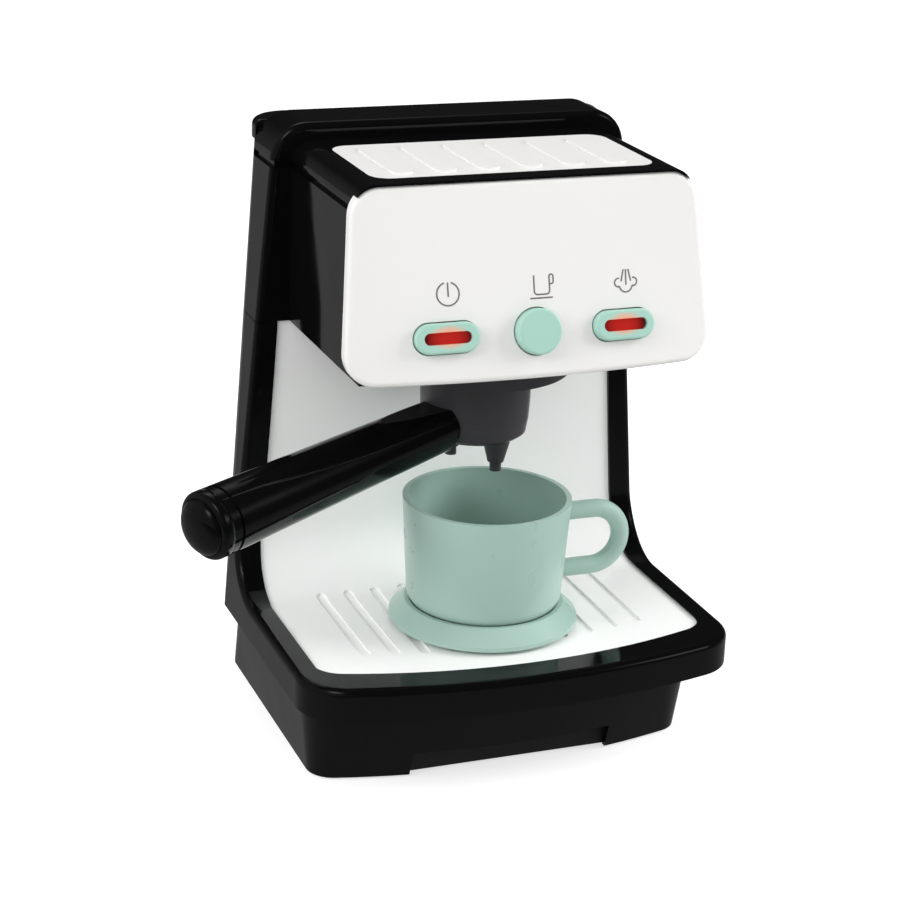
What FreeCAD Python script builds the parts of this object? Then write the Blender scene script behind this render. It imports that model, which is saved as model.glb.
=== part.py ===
import FreeCAD, Part
import math
import os
import Sketcher

# Toy coffee maker: a pretend espresso machine with a drip deck, a bowed control
# panel with three push buttons, a turning filter holder, a cup and a saucer.
# Millimetres. X to the right, -Y to the front, Z up. The origin is the centre of
# the underside, on the surface that the feet stand on.

doc = FreeCAD.newDocument("toy_coffee_maker")

# Driving dimensions: name, value, what it is
SIZES = [
    ("feet_drop", 1.0, "how far the feet stand below the skirt"),
    ("foot_half", 85.0, "half width of the skirt at the bottom"),
    ("foot_front", 71.0, "front of the skirt at the bottom, ahead of the origin"),
    ("foot_corner", 12.0, "plan radius of the skirt's corners at the bottom"),
    ("skirt_top", 31.0, "height where the skirt ends and the overhang begins"),
    ("skirt_half", 87.7, "half width of the skirt at its top"),
    ("skirt_front", 80.0, "front of the skirt at its top"),
    ("skirt_bow", 300.0, "plan radius of the skirt's bowed front"),
    ("rim_low", 41.0, "height where the upright band of the rim begins"),
    ("rim_top", 55.4, "height of the top of the rim"),
    ("rim_half", 96.3, "half width of the rim"),
    ("rim_front", 100.5, "front of the rim"),
    ("rim_bow", 337.0, "plan radius of the rim's bowed front"),
    ("rim_corner", 22.0, "plan radius of the rim's front corners"),
    ("back_face", 71.0, "back of the machine, behind the origin"),
    ("back_corner_low", 48.0, "plan radius of the back corners at the rim"),
    ("back_corner_high", 24.0, "plan radius of the back corners at the arch"),
    ("column_front", 22.8, "front face of the columns"),
    ("bend_radius", 26.8, "radius of the sweep from the rim up to the columns"),
    ("lean_start", 57.0, "height where the sides begin to lean in"),
    ("lean_angle", 5.05, "lean of the sides, degrees"),
    ("lean_blend", 200.0, "radius that blends the upright side into the leaning side"),
    ("arch_top", 261.0, "height of the arch"),
    ("arch_corner", 16.0, "radius of the arch's shoulders"),
    ("edge_round", 3.0, "rounding of the frame's front edge"),
    ("wall", 3.0, "wall of the black shells"),
    ("deck_wall", 5.0, "wall of the lower body under and behind the white deck"),
    ("low_seam", 176.0, "height of the seam under the head"),
    ("seam_gap", 0.4, "gap at a plain seam"),
    ("high_seam", 242.5, "height of the recessed seam under the arch"),
    ("high_seam_width", 3.0, "width of the recessed seam"),
    ("seam_depth", 1.6, "depth of the recessed seam"),
    ("split_plane", 50.0, "plane of the seam between front shells and rear cover"),
    ("rear_sill", 20.0, "height where the rear cover begins"),
    ("deck_half", 87.3, "half width of the white deck"),
    ("deck_bend_half", 85.8, "half width of the white deck where the sweep begins"),
    ("deck_middle_half", 80.9, "half width of the white back at mid height"),
    ("deck_top_half", 77.0, "half width of the white back at its top"),
    ("deck_front", 86.2, "front of the white deck"),
    ("deck_bow", 260.0, "plan radius of the deck's bowed front"),
    ("deck_corner", 14.0, "plan radius of the deck's front corners"),
    ("deck_sunk", 1.2, "how deep the white deck lies below the black frame"),
    ("deck_thick", 1.8, "thickness of the white deck"),
    ("ledge", 4.0, "width of the ledge that carries the white deck"),
    ("fit_gap", 0.2, "gap round a fixed piece in its recess"),
    ("groove_pitch", 12.4, "distance between the drip grooves"),
    ("groove_width", 4.4, "width of a drip groove"),
    ("groove_depth", 0.9, "depth of a drip groove"),
    ("groove_count", 11, "number of drip grooves"),
    ("groove_back", 5.5, "back end of the drip grooves"),
    ("groove_margin", 20.5, "from the bowed front of the deck to the grooves"),
    ("notch_half", 45.0, "half width of the finger recess in the skirt"),
    ("notch_top", 12.6, "height of the finger recess"),
    ("notch_back", 64.6, "back wall of the finger recess, ahead of the origin"),
    ("head_half", 72.0, "half width of the head"),
    ("head_top", 254.0, "height of the head's top"),
    ("head_round", 9.0, "rounding of the head's long top edges"),
    ("fascia_low", 176.4, "height of the control panel's lower edge"),
    ("fascia_high", 253.0, "height of the control panel's upper edge"),
    ("fascia_low_half", 79.3, "half width of the control panel at its lower edge"),
    ("fascia_high_half", 73.3, "half width of the control panel at its upper edge"),
    ("fascia_low_front", 80.5, "front of the control panel at its lower edge"),
    ("fascia_high_front", 60.3, "front of the control panel at its upper edge"),
    ("fascia_low_bow", 7.0, "how far the lower edge bows forward"),
    ("fascia_high_bow", 0.6, "how far the upper edge bows forward"),
    ("fascia_corner", 12.0, "radius of the control panel's corners"),
    ("fascia_thick", 5.0, "depth of the control panel's rim"),
    ("fascia_skin", 2.6, "thickness of the control panel behind its face"),
    ("fascia_edge", 2.2, "rounding of the control panel's front edge"),
    ("button_height", 195.1, "height of the button row"),
    ("pill_offset", 37.9, "from the middle to a pill button"),
    ("pill_length", 26.5, "length of a pill button"),
    ("pill_width", 12.2, "width of a pill button"),
    ("lens_length", 19.6, "length of the red lens in a pill button"),
    ("lens_width", 4.8, "width of the red lens"),
    ("lens_sunk", 1.3, "how deep the lens lies in its button"),
    ("pill_proud", 3.4, "how far a pill button stands out"),
    ("round_radius", 9.3, "radius of the round button"),
    ("round_proud", 4.6, "how far the round button stands out"),
    ("button_travel", 2.0, "travel of a button"),
    ("button_gap", 0.45, "gap round a button in its hole"),
    ("button_edge", 1.1, "rounding of a button's face edge"),
    ("flange_step", 1.8, "how far a button's flange stands out round it"),
    ("flange_thick", 1.4, "thickness of a button's flange"),
    ("board_depth", 15.0, "from the panel's face to the circuit board"),
    ("rack_half", 61.0, "half width of the cup rack on the head"),
    ("rack_front", 51.0, "front edge of the cup rack"),
    ("rack_back", 8.5, "back edge of the cup rack, behind the origin"),
    ("rack_corner", 8.0, "corner radius of the cup rack"),
    ("rack_thick", 1.6, "thickness of the cup rack"),
    ("rack_ribs", 6, "number of ribs on the cup rack"),
    ("rib_pitch", 18.5, "distance between the ribs"),
    ("rib_width", 10.0, "width of a rib"),
    ("rib_height", 0.7, "height of a rib"),
    ("rib_margin", 6.0, "from the rack's edge to the ribs"),
    ("brew_axis", 13.3, "axis of the brew head, ahead of the origin"),
    ("collar_radius", 40.0, "radius of the collar"),
    ("collar_low", 162.5, "underside of the collar"),
    ("collar_bore", 24.1, "bore of the collar"),
    ("lug_radius", 31.0, "reach of the filter holder's lugs"),
    ("lug_low", 167.0, "underside of the lugs"),
    ("lug_thick", 3.0, "thickness of the lugs"),
    ("lug_angle", 24.0, "width of a lug, degrees"),
    ("slot_angle", 76.0, "width of the collar's entry slots, degrees"),
    ("holder_radius", 23.6, "radius of the filter holder"),
    ("holder_low", 132.0, "underside of the filter holder"),
    ("holder_high", 171.0, "upper edge of the filter holder"),
    ("spout_offset", 13.4, "from the axis to each spout"),
    ("spout_low", 118.0, "tip of the spouts"),
    ("handle_yaw", 24.5, "handle direction at rest, degrees ahead of -X"),
    ("handle_drop", 5.9, "slope of the handle, degrees"),
    ("handle_height", 141.7, "height of the handle's axis at the brew axis"),
    ("handle_near", 11.6, "radius of the handle at the filter holder"),
    ("handle_far", 14.1, "radius of the handle at its end cap"),
    ("handle_length", 146.0, "from the brew axis to the end cap"),
    ("handle_flat", 148.2, "height of the flat on the handle's neck"),
    ("cap_dome", 11.0, "height of the end cap's dome"),
    ("cup_axis", 35.3, "axis of the cup, ahead of the origin"),
    ("cup_shift", 1.6, "how far the cup and saucer stand left of the middle"),
    ("cup_height", 48.6, "height of the cup"),
    ("cup_radius", 36.0, "radius of the cup at its rim"),
    ("cup_low_radius", 33.0, "radius of the cup above its rounded foot"),
    ("cup_foot", 7.0, "rounding of the cup's foot"),
    ("cup_wall", 2.2, "wall of the cup"),
    ("ear_reach", 50.0, "centre of the cup handle's bend, from the cup's axis"),
    ("ear_bend", 13.2, "radius of the cup handle's bend"),
    ("ear_tube", 4.0, "radius of the cup handle's section"),
    ("ear_height", 24.4, "middle of the cup handle above the cup's underside"),
    ("saucer_radius", 40.5, "radius of the saucer"),
    ("saucer_foot", 34.0, "radius of the saucer's flat foot"),
    ("saucer_rise", 1.6, "how far the saucer's edge stands above its foot"),
    ("saucer_edge", 1.8, "thickness of the saucer's edge"),
    ("saucer_floor", 7.2, "height of the saucer's well above its foot"),
    ("saucer_ring", 34.2, "outer radius of the saucer's raised ring"),
    ("saucer_well", 32.2, "radius of the saucer's well"),
    ("saucer_lip", 2.4, "height of the ring above the well"),
    ("saucer_wall", 2.4, "wall of the saucer"),
    ("rest_gap", 0.3, "gap between loose pieces that stand on each other"),
    ("cell_length", 50.0, "length of a battery cell"),
    ("cell_radius", 7.1, "radius of a battery cell"),
    ("cell_count", 3, "number of battery cells"),
    ("cell_pitch", 15.4, "distance between battery cells"),
    ("cell_middle", 5.0, "middle of the battery well, behind the origin"),
    ("well_spare", 4.0, "room for a contact at each end of a cell"),
    ("well_wall", 1.8, "wall of the battery well"),
    ("cover_inset", 0.2, "how far the bottom cover lies inside the skirt"),
    ("cover_thick", 3.0, "thickness of the bottom cover"),
    ("door_rebate", 3.0, "width of the ledge round the battery door"),
    ("door_thick", 1.7, "thickness of the battery door"),
    ("post_offset", 9.0, "from the skirt's side to a screw post"),
    ("post_front", 29.0, "from the skirt's front to the front screw posts"),
    ("post_rear", 41.0, "from the back to the rear screw posts"),
    ("post_radius", 4.2, "radius of a screw post"),
    ("screw_radius", 1.2, "radius of a screw's shank"),
    ("screw_play", 0.1, "gap round a screw's shank in its hole"),
    ("screw_head", 2.8, "radius of a screw's head"),
    ("screw_head_thick", 1.3, "thickness of a screw's head"),
    ("screw_length", 14.0, "length of a case screw's shank"),
    ("short_screw", 5.6, "length of a short screw's shank"),
    ("foot_pad_radius", 7.0, "radius of a rubber foot"),
    ("foot_pad_thick", 2.2, "thickness of a rubber foot"),
    ("pad_side", 19.0, "from the skirt's side to a rubber foot"),
    ("pad_front", 25.0, "from the skirt's front to a front rubber foot"),
    ("pad_rear", 17.0, "from the back to a rear rubber foot"),
    ("recess_wall", 2.0, "wall of the finger recess"),
    ("speaker_radius", 14.0, "radius of the speaker"),
    ("speaker_thick", 6.0, "thickness of the speaker"),
    ("speaker_side", 28.0, "from the skirt's side to the speaker"),
    ("board_thick", 1.6, "thickness of the circuit board"),
    ("board_half", 61.0, "half width of the circuit board"),
    ("board_low", 10.5, "lower edge of the board below the button row"),
    ("board_high", 26.0, "upper edge of the board above the button row"),
    ("board_post_side", 57.5, "from the middle to a board post"),
    ("board_post_low", 6.0, "lower board posts below the button row"),
    ("board_post_high", 20.0, "upper board posts above the button row"),
    ("board_post_radius", 3.0, "radius of a board post"),
    ("switch_size", 6.0, "width of a push switch"),
    ("switch_height", 4.0, "height of a push switch on the board"),
    ("stem_radius", 1.8, "radius of a button's stem"),
    ("stem_drop", 5.9, "stem of a long button below its middle"),
    ("stem_clear", 0.2, "gap between a pressed stem and its switch"),
    ("led_radius", 2.5, "radius of a lamp"),
    ("led_height", 5.6, "height of a lamp on the board"),
    ("lens_play", 0.1, "gap round a lens in its window"),
    ("lens_flange", 1.5, "step of a lens's flange"),
    ("lens_flange_thick", 1.0, "thickness of a lens's flange"),
    ("flange_clear", 0.5, "gap between a button's flange and the panel"),
    ("collar_screw_ring", 35.8, "ring of the collar's screws"),
    ("basket_wall", 0.6, "wall of the filter basket"),
    ("holder_wall", 2.2, "wall of the filter holder's bowl"),
    ("bowl_floor", 150.0, "floor of the filter holder's bowl"),
    ("spout_radius", 6.4, "radius of a spout at the holder"),
    ("spout_low_radius", 3.5, "radius of a spout at its tip"),
    ("spout_neck", 122.0, "height where a spout's tip begins"),
    ("tip_radius", 2.5, "radius of a spout's tip"),
    ("tang_radius", 5.0, "radius of the tang inside the handle"),
    ("tang_length", 60.0, "end of the tang from the brew axis"),
    ("ring_groove_place", 5.0, "from the end cap to the handle's ring groove"),
    ("ring_groove_width", 1.6, "width of the handle's ring groove"),
    ("ring_groove_depth", 0.8, "depth of the handle's ring groove"),
    ("tank_wall", 1.6, "wall of the water tank"),
    ("tank_gap", 1.2, "gap round the water tank"),
    ("shelf_thick", 2.6, "thickness of the tank's shelf"),
    ("plug_depth", 4.0, "how far the lid reaches into the tank"),
    ("lid_corner", 18.0, "plan radius of the tank lid's rear corners"),
    ("lid_round", 3.0, "rounding of the tank lid's top edge"),
    ("tank_half", 52.0, "half width of the water tank"),
    ("tank_depth", 60.0, "depth of the water tank"),
    ("lid_low", 249.0, "underside of the tank lid's rim"),
    ("lid_top", 257.0, "top of the tank lid"),
    ("lid_half", 79.6, "half width of the tank lid"),
]

sheet = doc.addObject("Spreadsheet::Sheet", "Sizes")
for row, (alias, value, note) in enumerate(SIZES, start=1):
    sheet.set("A%d" % row, alias)
    sheet.set("B%d" % row, str(value))
    sheet.set("C%d" % row, note)
    sheet.setAlias("B%d" % row, alias)
doc.recompute()


def size(alias):
    return float(sheet.get(alias))


S = {alias: size(alias) for alias, _, _ in SIZES}

# Places worked out from the sizes
bend_y = S["column_front"] - S["bend_radius"]
bend_z = S["rim_top"] + S["bend_radius"]
deck_z = S["rim_top"] - S["deck_sunk"]
back_y = S["column_front"] + S["deck_sunk"]
brew_y = -S["brew_axis"]
cup_y = -S["cup_axis"]
FAR = 400.0


# Small geometry helpers

def vec(x, y, z):
    return FreeCAD.Vector(x, y, z)


def segment(p, q):
    return Part.LineSegment(p, q).toShape()


def arc(p, q, r):
    return Part.Arc(p, q, r).toShape()


def solid_block(x0, y0, z0, x1, y1, z1):
    return Part.makeBox(x1 - x0, y1 - y0, z1 - z0, vec(x0, y0, z0))


def extruded(edges, direction):
    return Part.Face(Part.Wire(edges)).extrude(direction)


def polygon(points):
    return [segment(p, q) for p, q in zip(points, points[1:] + points[:1])]


def rounded_polygon(points, radii, place):
    """Closed outline through the points, each corner rounded by its radius (0 keeps it sharp)."""
    count = len(points)
    corners = []
    for i, (x, y) in enumerate(points):
        r = radii[i]
        if r == 0:
            corners.append(((x, y), None, (x, y)))
            continue
        px, py = points[i - 1]
        nx, ny = points[(i + 1) % count]
        ax, ay = px - x, py - y
        bx, by = nx - x, ny - y
        la, lb = math.hypot(ax, ay), math.hypot(bx, by)
        ax, ay, bx, by = ax / la, ay / la, bx / lb, by / lb
        half_angle = math.acos(ax * bx + ay * by) / 2
        t = r / math.tan(half_angle)
        mx, my = ax + bx, ay + by
        lm = math.hypot(mx, my)
        k = r / math.sin(half_angle) - r
        corners.append(((x + ax * t, y + ay * t), (x + mx / lm * k, y + my / lm * k), (x + bx * t, y + by * t)))
    edges = []
    for i, (start, middle, end) in enumerate(corners):
        if middle:
            edges.append(arc(place(*start), place(*middle), place(*end)))
        edges.append(segment(place(*end), place(*corners[(i + 1) % count][0])))
    return edges


def slot_edges(length, width, place):
    """Long hole with round ends, centred, along u."""
    r = width / 2
    a = length / 2 - r
    return [
        segment(place(-a, -r), place(a, -r)),
        arc(place(a, -r), place(a + r, 0), place(a, r)),
        segment(place(a, r), place(-a, r)),
        arc(place(-a, r), place(-a - r, 0), place(-a, -r)),
    ]


def outline(z, half, front, bow, corner, back, back_corner):
    """Plan outline: bowed front, round corners, straight sides, round back corners."""
    front_y = -front
    centre_y = front_y + bow
    reach_x = half - corner
    reach_y = -math.sqrt((bow - corner) ** 2 - reach_x ** 2)
    corner_y = centre_y + reach_y
    k = bow / (bow - corner)
    tx, ty = reach_x * k, centre_y + reach_y * k
    middle = math.atan2(reach_y, reach_x) / 2
    mx = reach_x + corner * math.cos(middle)
    my = corner_y + corner * math.sin(middle)
    d = back_corner * math.sqrt(0.5)
    bx, by = half - back_corner, back - back_corner
    right = [
        arc(vec(tx, ty, z), vec(mx, my, z), vec(half, corner_y, z)),
        segment(vec(half, corner_y, z), vec(half, by, z)),
        arc(vec(half, by, z), vec(bx + d, by + d, z), vec(bx, back, z)),
    ]
    left = [
        arc(vec(-bx, back, z), vec(-bx - d, by + d, z), vec(-half, by, z)),
        segment(vec(-half, by, z), vec(-half, corner_y, z)),
        arc(vec(-half, corner_y, z), vec(-mx, my, z), vec(-tx, ty, z)),
    ]
    front_arc = arc(vec(-tx, ty, z), vec(0, front_y, z), vec(tx, ty, z))
    return [front_arc] + right + [segment(vec(bx, back, z), vec(-bx, back, z))] + left


def shrunk_outline(z, half, front, bow, corner, back, back_corner, inset):
    return outline(z, half - inset, front - inset, bow - inset, corner - inset, back - inset, back_corner - inset)


def foot_outline(z, inset=0.0):
    return shrunk_outline(z, S["foot_half"], S["foot_front"], S["skirt_bow"], S["foot_corner"],
                          S["back_face"], S["foot_corner"], inset)


def skirt_outline(z, inset=0.0):
    middle = (S["foot_corner"] + S["back_corner_low"]) / 2
    return shrunk_outline(z, S["skirt_half"], S["skirt_front"], S["skirt_bow"], S["rim_corner"],
                          S["back_face"], middle, inset)


def rim_outline(z, inset=0.0):
    return shrunk_outline(z, S["rim_half"], S["rim_front"], S["rim_bow"], S["rim_corner"],
                          S["back_face"], S["back_corner_low"], inset)


def deck_outline(z, inset=0.0):
    return shrunk_outline(z, S["deck_half"], S["deck_front"], S["deck_bow"], S["deck_corner"],
                          S["back_face"], S["deck_corner"] + inset + 1.0, inset)


# The black frame: a rim that sweeps up into two columns and an arch

def lean_points(inset):
    """Right half of the front silhouette, inset by a wall: key points from the bottom up."""
    lean = math.radians(S["lean_angle"])
    x0, z0, r = S["rim_half"], S["lean_start"], S["lean_blend"]
    centre_x = x0 - r
    inner = r - inset
    start = (centre_x + inner, z0)
    middle = (centre_x + inner * math.cos(lean / 2), z0 + inner * math.sin(lean / 2))
    end = (centre_x + inner * math.cos(lean), z0 + inner * math.sin(lean))
    outer_end_x = centre_x + r * math.cos(lean)
    outer_end_z = z0 + r * math.sin(lean)
    corner_z = S["arch_top"] - S["arch_corner"]
    line_x = outer_end_x - (corner_z - outer_end_z) * math.tan(lean)
    corner_x = line_x - S["arch_corner"] / math.cos(lean)
    rc = S["arch_corner"] - inset
    half_way = (lean + math.pi / 2) / 2
    shoulder = (corner_x + rc * math.cos(lean), corner_z + rc * math.sin(lean))
    shoulder_mid = (corner_x + rc * math.cos(half_way), corner_z + rc * math.sin(half_way))
    top = (corner_x, corner_z + rc)
    return start, middle, end, shoulder, shoulder_mid, top


def silhouette_edges(inset, y=0.0):
    """Upper part of the front silhouette as an open chain, from right to left."""
    start, middle, end, shoulder, shoulder_mid, top = lean_points(inset)
    x0 = S["rim_half"] - inset
    low = (x0, S["rim_low"])

    def p(q, side=1):
        return vec(side * q[0], y, q[1])

    return [
        segment(p(low), p(start)),
        arc(p(start), p(middle), p(end)),
        segment(p(end), p(shoulder)),
        arc(p(shoulder), p(shoulder_mid), p(top)),
        segment(p(top), p(top, -1)),
        arc(p(top, -1), p(shoulder_mid, -1), p(shoulder, -1)),
        segment(p(shoulder, -1), p(end, -1)),
        arc(p(end, -1), p(middle, -1), p(start, -1)),
        segment(p(start, -1), p(low, -1)),
    ]


def silhouette_prism(inset, y0, y1):
    x0 = S["rim_half"] - inset
    floor = segment(vec(-x0, y0, S["rim_low"]), vec(x0, y0, S["rim_low"]))
    return extruded(silhouette_edges(inset, y0) + [floor], vec(0, y1 - y0, 0))


def sweep_edges(depth, x=0.0):
    """Side view of the frame's front surface, moved inwards by depth."""
    r = S["bend_radius"] + depth
    k = math.sqrt(0.5)
    low = vec(x, bend_y, bend_z - r)
    middle = vec(x, bend_y + r * k, bend_z - r * k)
    high = vec(x, bend_y + r, bend_z)
    return low, middle, high


def sweep_prism(depth, front_y, low_z, back):
    """Everything behind and below the swept front surface."""
    low, middle, high = sweep_edges(depth, -FAR / 2)
    x = -FAR / 2
    front_top = vec(x, front_y, low.z)
    points = [vec(x, high.y, FAR), vec(x, back, FAR), vec(x, back, low_z), vec(x, front_y, low_z), front_top]
    edges = [arc(low, middle, high), segment(high, points[0])]
    edges += [segment(p, q) for p, q in zip(points, points[1:])]
    if front_y < bend_y:
        edges.append(segment(front_top, low))
    else:
        edges[-1] = segment(points[3], low)
    return extruded(edges, vec(FAR, 0, 0))


def back_round(inset, spare=0.3):
    """Tall block with leaning sides and round back corners."""
    lean = math.tan(math.radians(S["lean_angle"]))
    wires = []
    for z, radius in ((S["rim_low"], S["back_corner_low"]), (S["arch_top"] + 1, S["back_corner_high"])):
        half = S["rim_half"] + (S["lean_start"] + 7 - z) * lean + spare - inset
        r = radius - inset
        back = S["back_face"] - inset
        d = r * math.sqrt(0.5)
        bx, by = half - r, back - r
        wires.append(Part.Wire([
            segment(vec(-half, -FAR / 2, z), vec(half, -FAR / 2, z)),
            segment(vec(half, -FAR / 2, z), vec(half, by, z)),
            arc(vec(half, by, z), vec(bx + d, by + d, z), vec(bx, back, z)),
            segment(vec(bx, back, z), vec(-bx, back, z)),
            arc(vec(-bx, back, z), vec(-bx - d, by + d, z), vec(-half, by, z)),
            segment(vec(-half, by, z), vec(-half, -FAR / 2, z)),
        ]))
    return Part.makeLoft(wires, True, True)


def rounded_along(shape, curve_a, curve_b, radius):
    """Fillet the edges whose middles lie on both guide curves."""
    chosen = []
    for edge in shape.Edges:
        u = (edge.FirstParameter + edge.LastParameter) / 2
        p = edge.valueAt(u)
        side_point = Part.Vertex(vec(0, p.y, p.z))
        front_point = Part.Vertex(vec(p.x, 0, p.z))
        if curve_a.distToShape(side_point)[0] < 0.01 and curve_b.distToShape(front_point)[0] < 0.01:
            chosen.append(edge)
    return shape.makeFillet(radius, chosen)


def frame_block(inset, depth, rounding):
    """Columns and arch, from the sweep upwards, solid, inset by the given walls."""
    front = sweep_prism(depth, bend_y, S["rim_low"], FAR / 2)
    block = front.common(silhouette_prism(inset, bend_y, S["back_face"] - inset))
    if rounding:
        low, middle, high = sweep_edges(depth)
        guide_a = Part.Wire([arc(low, middle, high), segment(high, vec(0, high.y, FAR))])
        guide_b = Part.Wire(silhouette_edges(inset))
        block = rounded_along(block, guide_a, guide_b, rounding)
    return block.common(back_round(inset))


def rim_band(inset, depth, rounding):
    """Front of the rim, up to the start of the sweep."""
    band = extruded(rim_outline(S["rim_low"], inset), vec(0, 0, S["rim_top"] - depth - S["rim_low"]))
    band = band.common(solid_block(-FAR, -FAR, 0, FAR, bend_y, FAR))
    if rounding:
        top = S["rim_top"] - depth
        chosen = []
        for edge in band.Edges:
            p = edge.valueAt((edge.FirstParameter + edge.LastParameter) / 2)
            if abs(p.z - top) < 0.01 and p.y < bend_y - 0.01:
                chosen.append(edge)
        band = band.makeFillet(rounding, chosen)
    return band


def skirt_block(inset, z0):
    """Skirt and overhang below the rim."""
    wires = [Part.Wire(foot_outline(z0, inset)), Part.Wire(skirt_outline(S["skirt_top"], inset)),
             Part.Wire(rim_outline(S["rim_low"], inset))]
    return Part.makeLoft(wires, True, True)


# The control panel's bowed and sloping face

panel_slope = math.atan2(S["fascia_low_front"] - S["fascia_high_front"], S["fascia_high"] - S["fascia_low"])


def panel_front(z):
    """Front of the panel's face at its middle, at height z."""
    return -S["fascia_low_front"] + (z - S["fascia_low"]) * math.tan(panel_slope)


def panel_bow(z):
    """How far the middle stands ahead of the panel's ends, at height z."""
    share = (z - S["fascia_low"]) / (S["fascia_high"] - S["fascia_low"])
    return S["fascia_low_bow"] + share * (S["fascia_high_bow"] - S["fascia_low_bow"])


def panel_arc(z, depth, reverse=False):
    half = S["fascia_low_half"]
    y = panel_front(z) + depth
    ends = [vec(-half, y + panel_bow(z), z), vec(half, y + panel_bow(z), z)]
    if reverse:
        ends.reverse()
    return arc(ends[0], vec(0, y, z), ends[1]), ends


def panel_slab(front_depth, back_depth):
    """Bowed slab between two depths behind the panel's face; None reaches far forward."""
    wires = []
    for z in (S["fascia_low"] - 6, S["fascia_high"] + 4):
        back_arc, (p, q) = panel_arc(z, back_depth)
        if front_depth is None:
            far_p, far_q = vec(p.x, -FAR, z), vec(q.x, -FAR, z)
            edges = [back_arc, segment(q, far_q), segment(far_q, far_p), segment(far_p, p)]
        else:
            front_arc, (r, s) = panel_arc(z, front_depth, True)
            edges = [back_arc, segment(q, r), front_arc, segment(s, p)]
        wires.append(Part.Wire(edges))
    return Part.makeLoft(wires, True, True)


def panel_outline(inset):
    """Front view of the panel as a prism that runs far along Y."""
    low, high = S["fascia_low_half"] - inset, S["fascia_high_half"] - inset
    points = [(-low, S["fascia_low"] + inset), (low, S["fascia_low"] + inset),
              (high, S["fascia_high"] - inset), (-high, S["fascia_high"] - inset)]
    radius = S["fascia_corner"] - inset
    return extruded(rounded_polygon(points, [radius] * 4, lambda u, v: vec(u, -FAR / 2, v)), vec(0, FAR, 0))


button_y = panel_front(S["button_height"])


def on_panel(shape):
    """Move a shape from the panel's own frame (right, up the face, outwards) to its place."""
    placed = shape.copy()
    turn = FreeCAD.Rotation(vec(1, 0, 0), 90 - math.degrees(panel_slope))
    placed.Placement = FreeCAD.Placement(vec(0, button_y, S["button_height"]), turn).multiply(shape.Placement)
    return placed


def panel_dip(x):
    """How far the bowed face lies behind its middle, at a place along the button row."""
    return panel_bow(S["button_height"]) * (x / S["fascia_low_half"]) ** 2


# Making named pieces

NODES = []


def piece(label, shape):
    """A named piece whose form comes from the shape functions above."""
    item = doc.addObject("Part::Feature", label)
    item.Shape = shape
    item.Label = label
    NODES.append(item)
    return item


def total(text):
    """Value of a sum of named sizes and numbers, whose terms may be products or quotients."""
    result, term, sign, divide = 0.0, 1.0, 1, False
    for word in text.split() + ["+"]:
        if word in "+-":
            result += sign * term
            term, sign, divide = 1.0, 1 if word == "+" else -1, False
        elif word in "*/":
            divide = word == "/"
        else:
            value = S[word] if word in S else float(word)
            term = term / value if divide else term * value
    return result


def linked(text):
    """The same sum as an expression on the sheet."""
    return " ".join("Sizes." + word if word in S else word for word in text.split())


def bind(item, prop, text):
    item.setExpression(prop, linked(text))


def turned_body(label, profile, y_text, keep=True):
    """A body of revolution about a vertical axis; profile points are (radius, height) sums."""
    body = doc.addObject("PartDesign::Body", label)
    body.Label = label
    sketch = body.newObject("Sketcher::SketchObject", label + "_profile")
    plane = next(f for f in body.Origin.OriginFeatures if f.Role == "XZ_Plane")
    sketch.AttachmentSupport = [(plane, "")]
    sketch.MapMode = "FlatFace"
    corners = [vec(total(u), total(v), 0) for u, v in profile]
    count = len(corners)
    for i, corner in enumerate(corners):
        sketch.addGeometry(Part.LineSegment(corner, corners[(i + 1) % count]), False)
    for i in range(count):
        sketch.addConstraint(Sketcher.Constraint("Coincident", i, 2, (i + 1) % count, 1))
    for i, (u, v) in enumerate(profile):
        if u == "0":
            sketch.addConstraint(Sketcher.Constraint("PointOnObject", i, 1, -2))
        else:
            across = sketch.addConstraint(Sketcher.Constraint("DistanceX", -1, 1, i, 1, total(u)))
            bind(sketch, "Constraints[%d]" % across, u)
        up = sketch.addConstraint(Sketcher.Constraint("DistanceY", -1, 1, i, 1, total(v)))
        bind(sketch, "Constraints[%d]" % up, v)
    turn = body.newObject("PartDesign::Revolution", label + "_turn")
    turn.Profile = sketch
    turn.ReferenceAxis = (sketch, ["V_Axis"])
    turn.Angle = 360
    body.Tip = turn
    if y_text:
        bind(body, "Placement.Base.y", y_text)
    if keep:
        NODES.append(body)
    return body


def cylinder(name, radius, height, x="0", y="0", z="0"):
    item = doc.addObject("Part::Cylinder", name)
    bind(item, "Radius", radius)
    bind(item, "Height", height)
    for axis, text in (("x", x), ("y", y), ("z", z)):
        bind(item, "Placement.Base." + axis, text)
    return item


def box(name, length, width, height, x="0", y="0", z="0"):
    item = doc.addObject("Part::Box", name)
    for prop, text in (("Length", length), ("Width", width), ("Height", height)):
        bind(item, prop, text)
    for axis, text in (("x", x), ("y", y), ("z", z)):
        bind(item, "Placement.Base." + axis, text)
    return item


def group(label, items):
    """Several separate solids that share one node."""
    item = doc.addObject("Part::Compound", label)
    item.Links = items
    item.Label = label
    NODES.append(item)
    return item


# Black shells: lower body, head housing, top cover, rear cover

outer_frame = frame_block(0.0, 0.0, S["edge_round"])
inner_frame = frame_block(S["wall"], S["deck_wall"], 0.0)
thin_frame = frame_block(S["wall"], S["wall"], 0.0)
above_low_seam = S["low_seam"] + S["seam_gap"] / 2
below_low_seam = S["low_seam"] - S["seam_gap"] / 2
above_high_seam = S["high_seam"] + S["high_seam_width"]
foot_z = S["feet_drop"]
cover_gap = S["fit_gap"]


def below(z):
    return solid_block(-FAR, -FAR, -FAR, FAR, FAR, z)


def above(z):
    return solid_block(-FAR, -FAR, z, FAR, FAR, FAR * 2)


def ahead_of(y):
    return solid_block(-FAR, -FAR, -FAR, FAR, y, FAR * 2)


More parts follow.
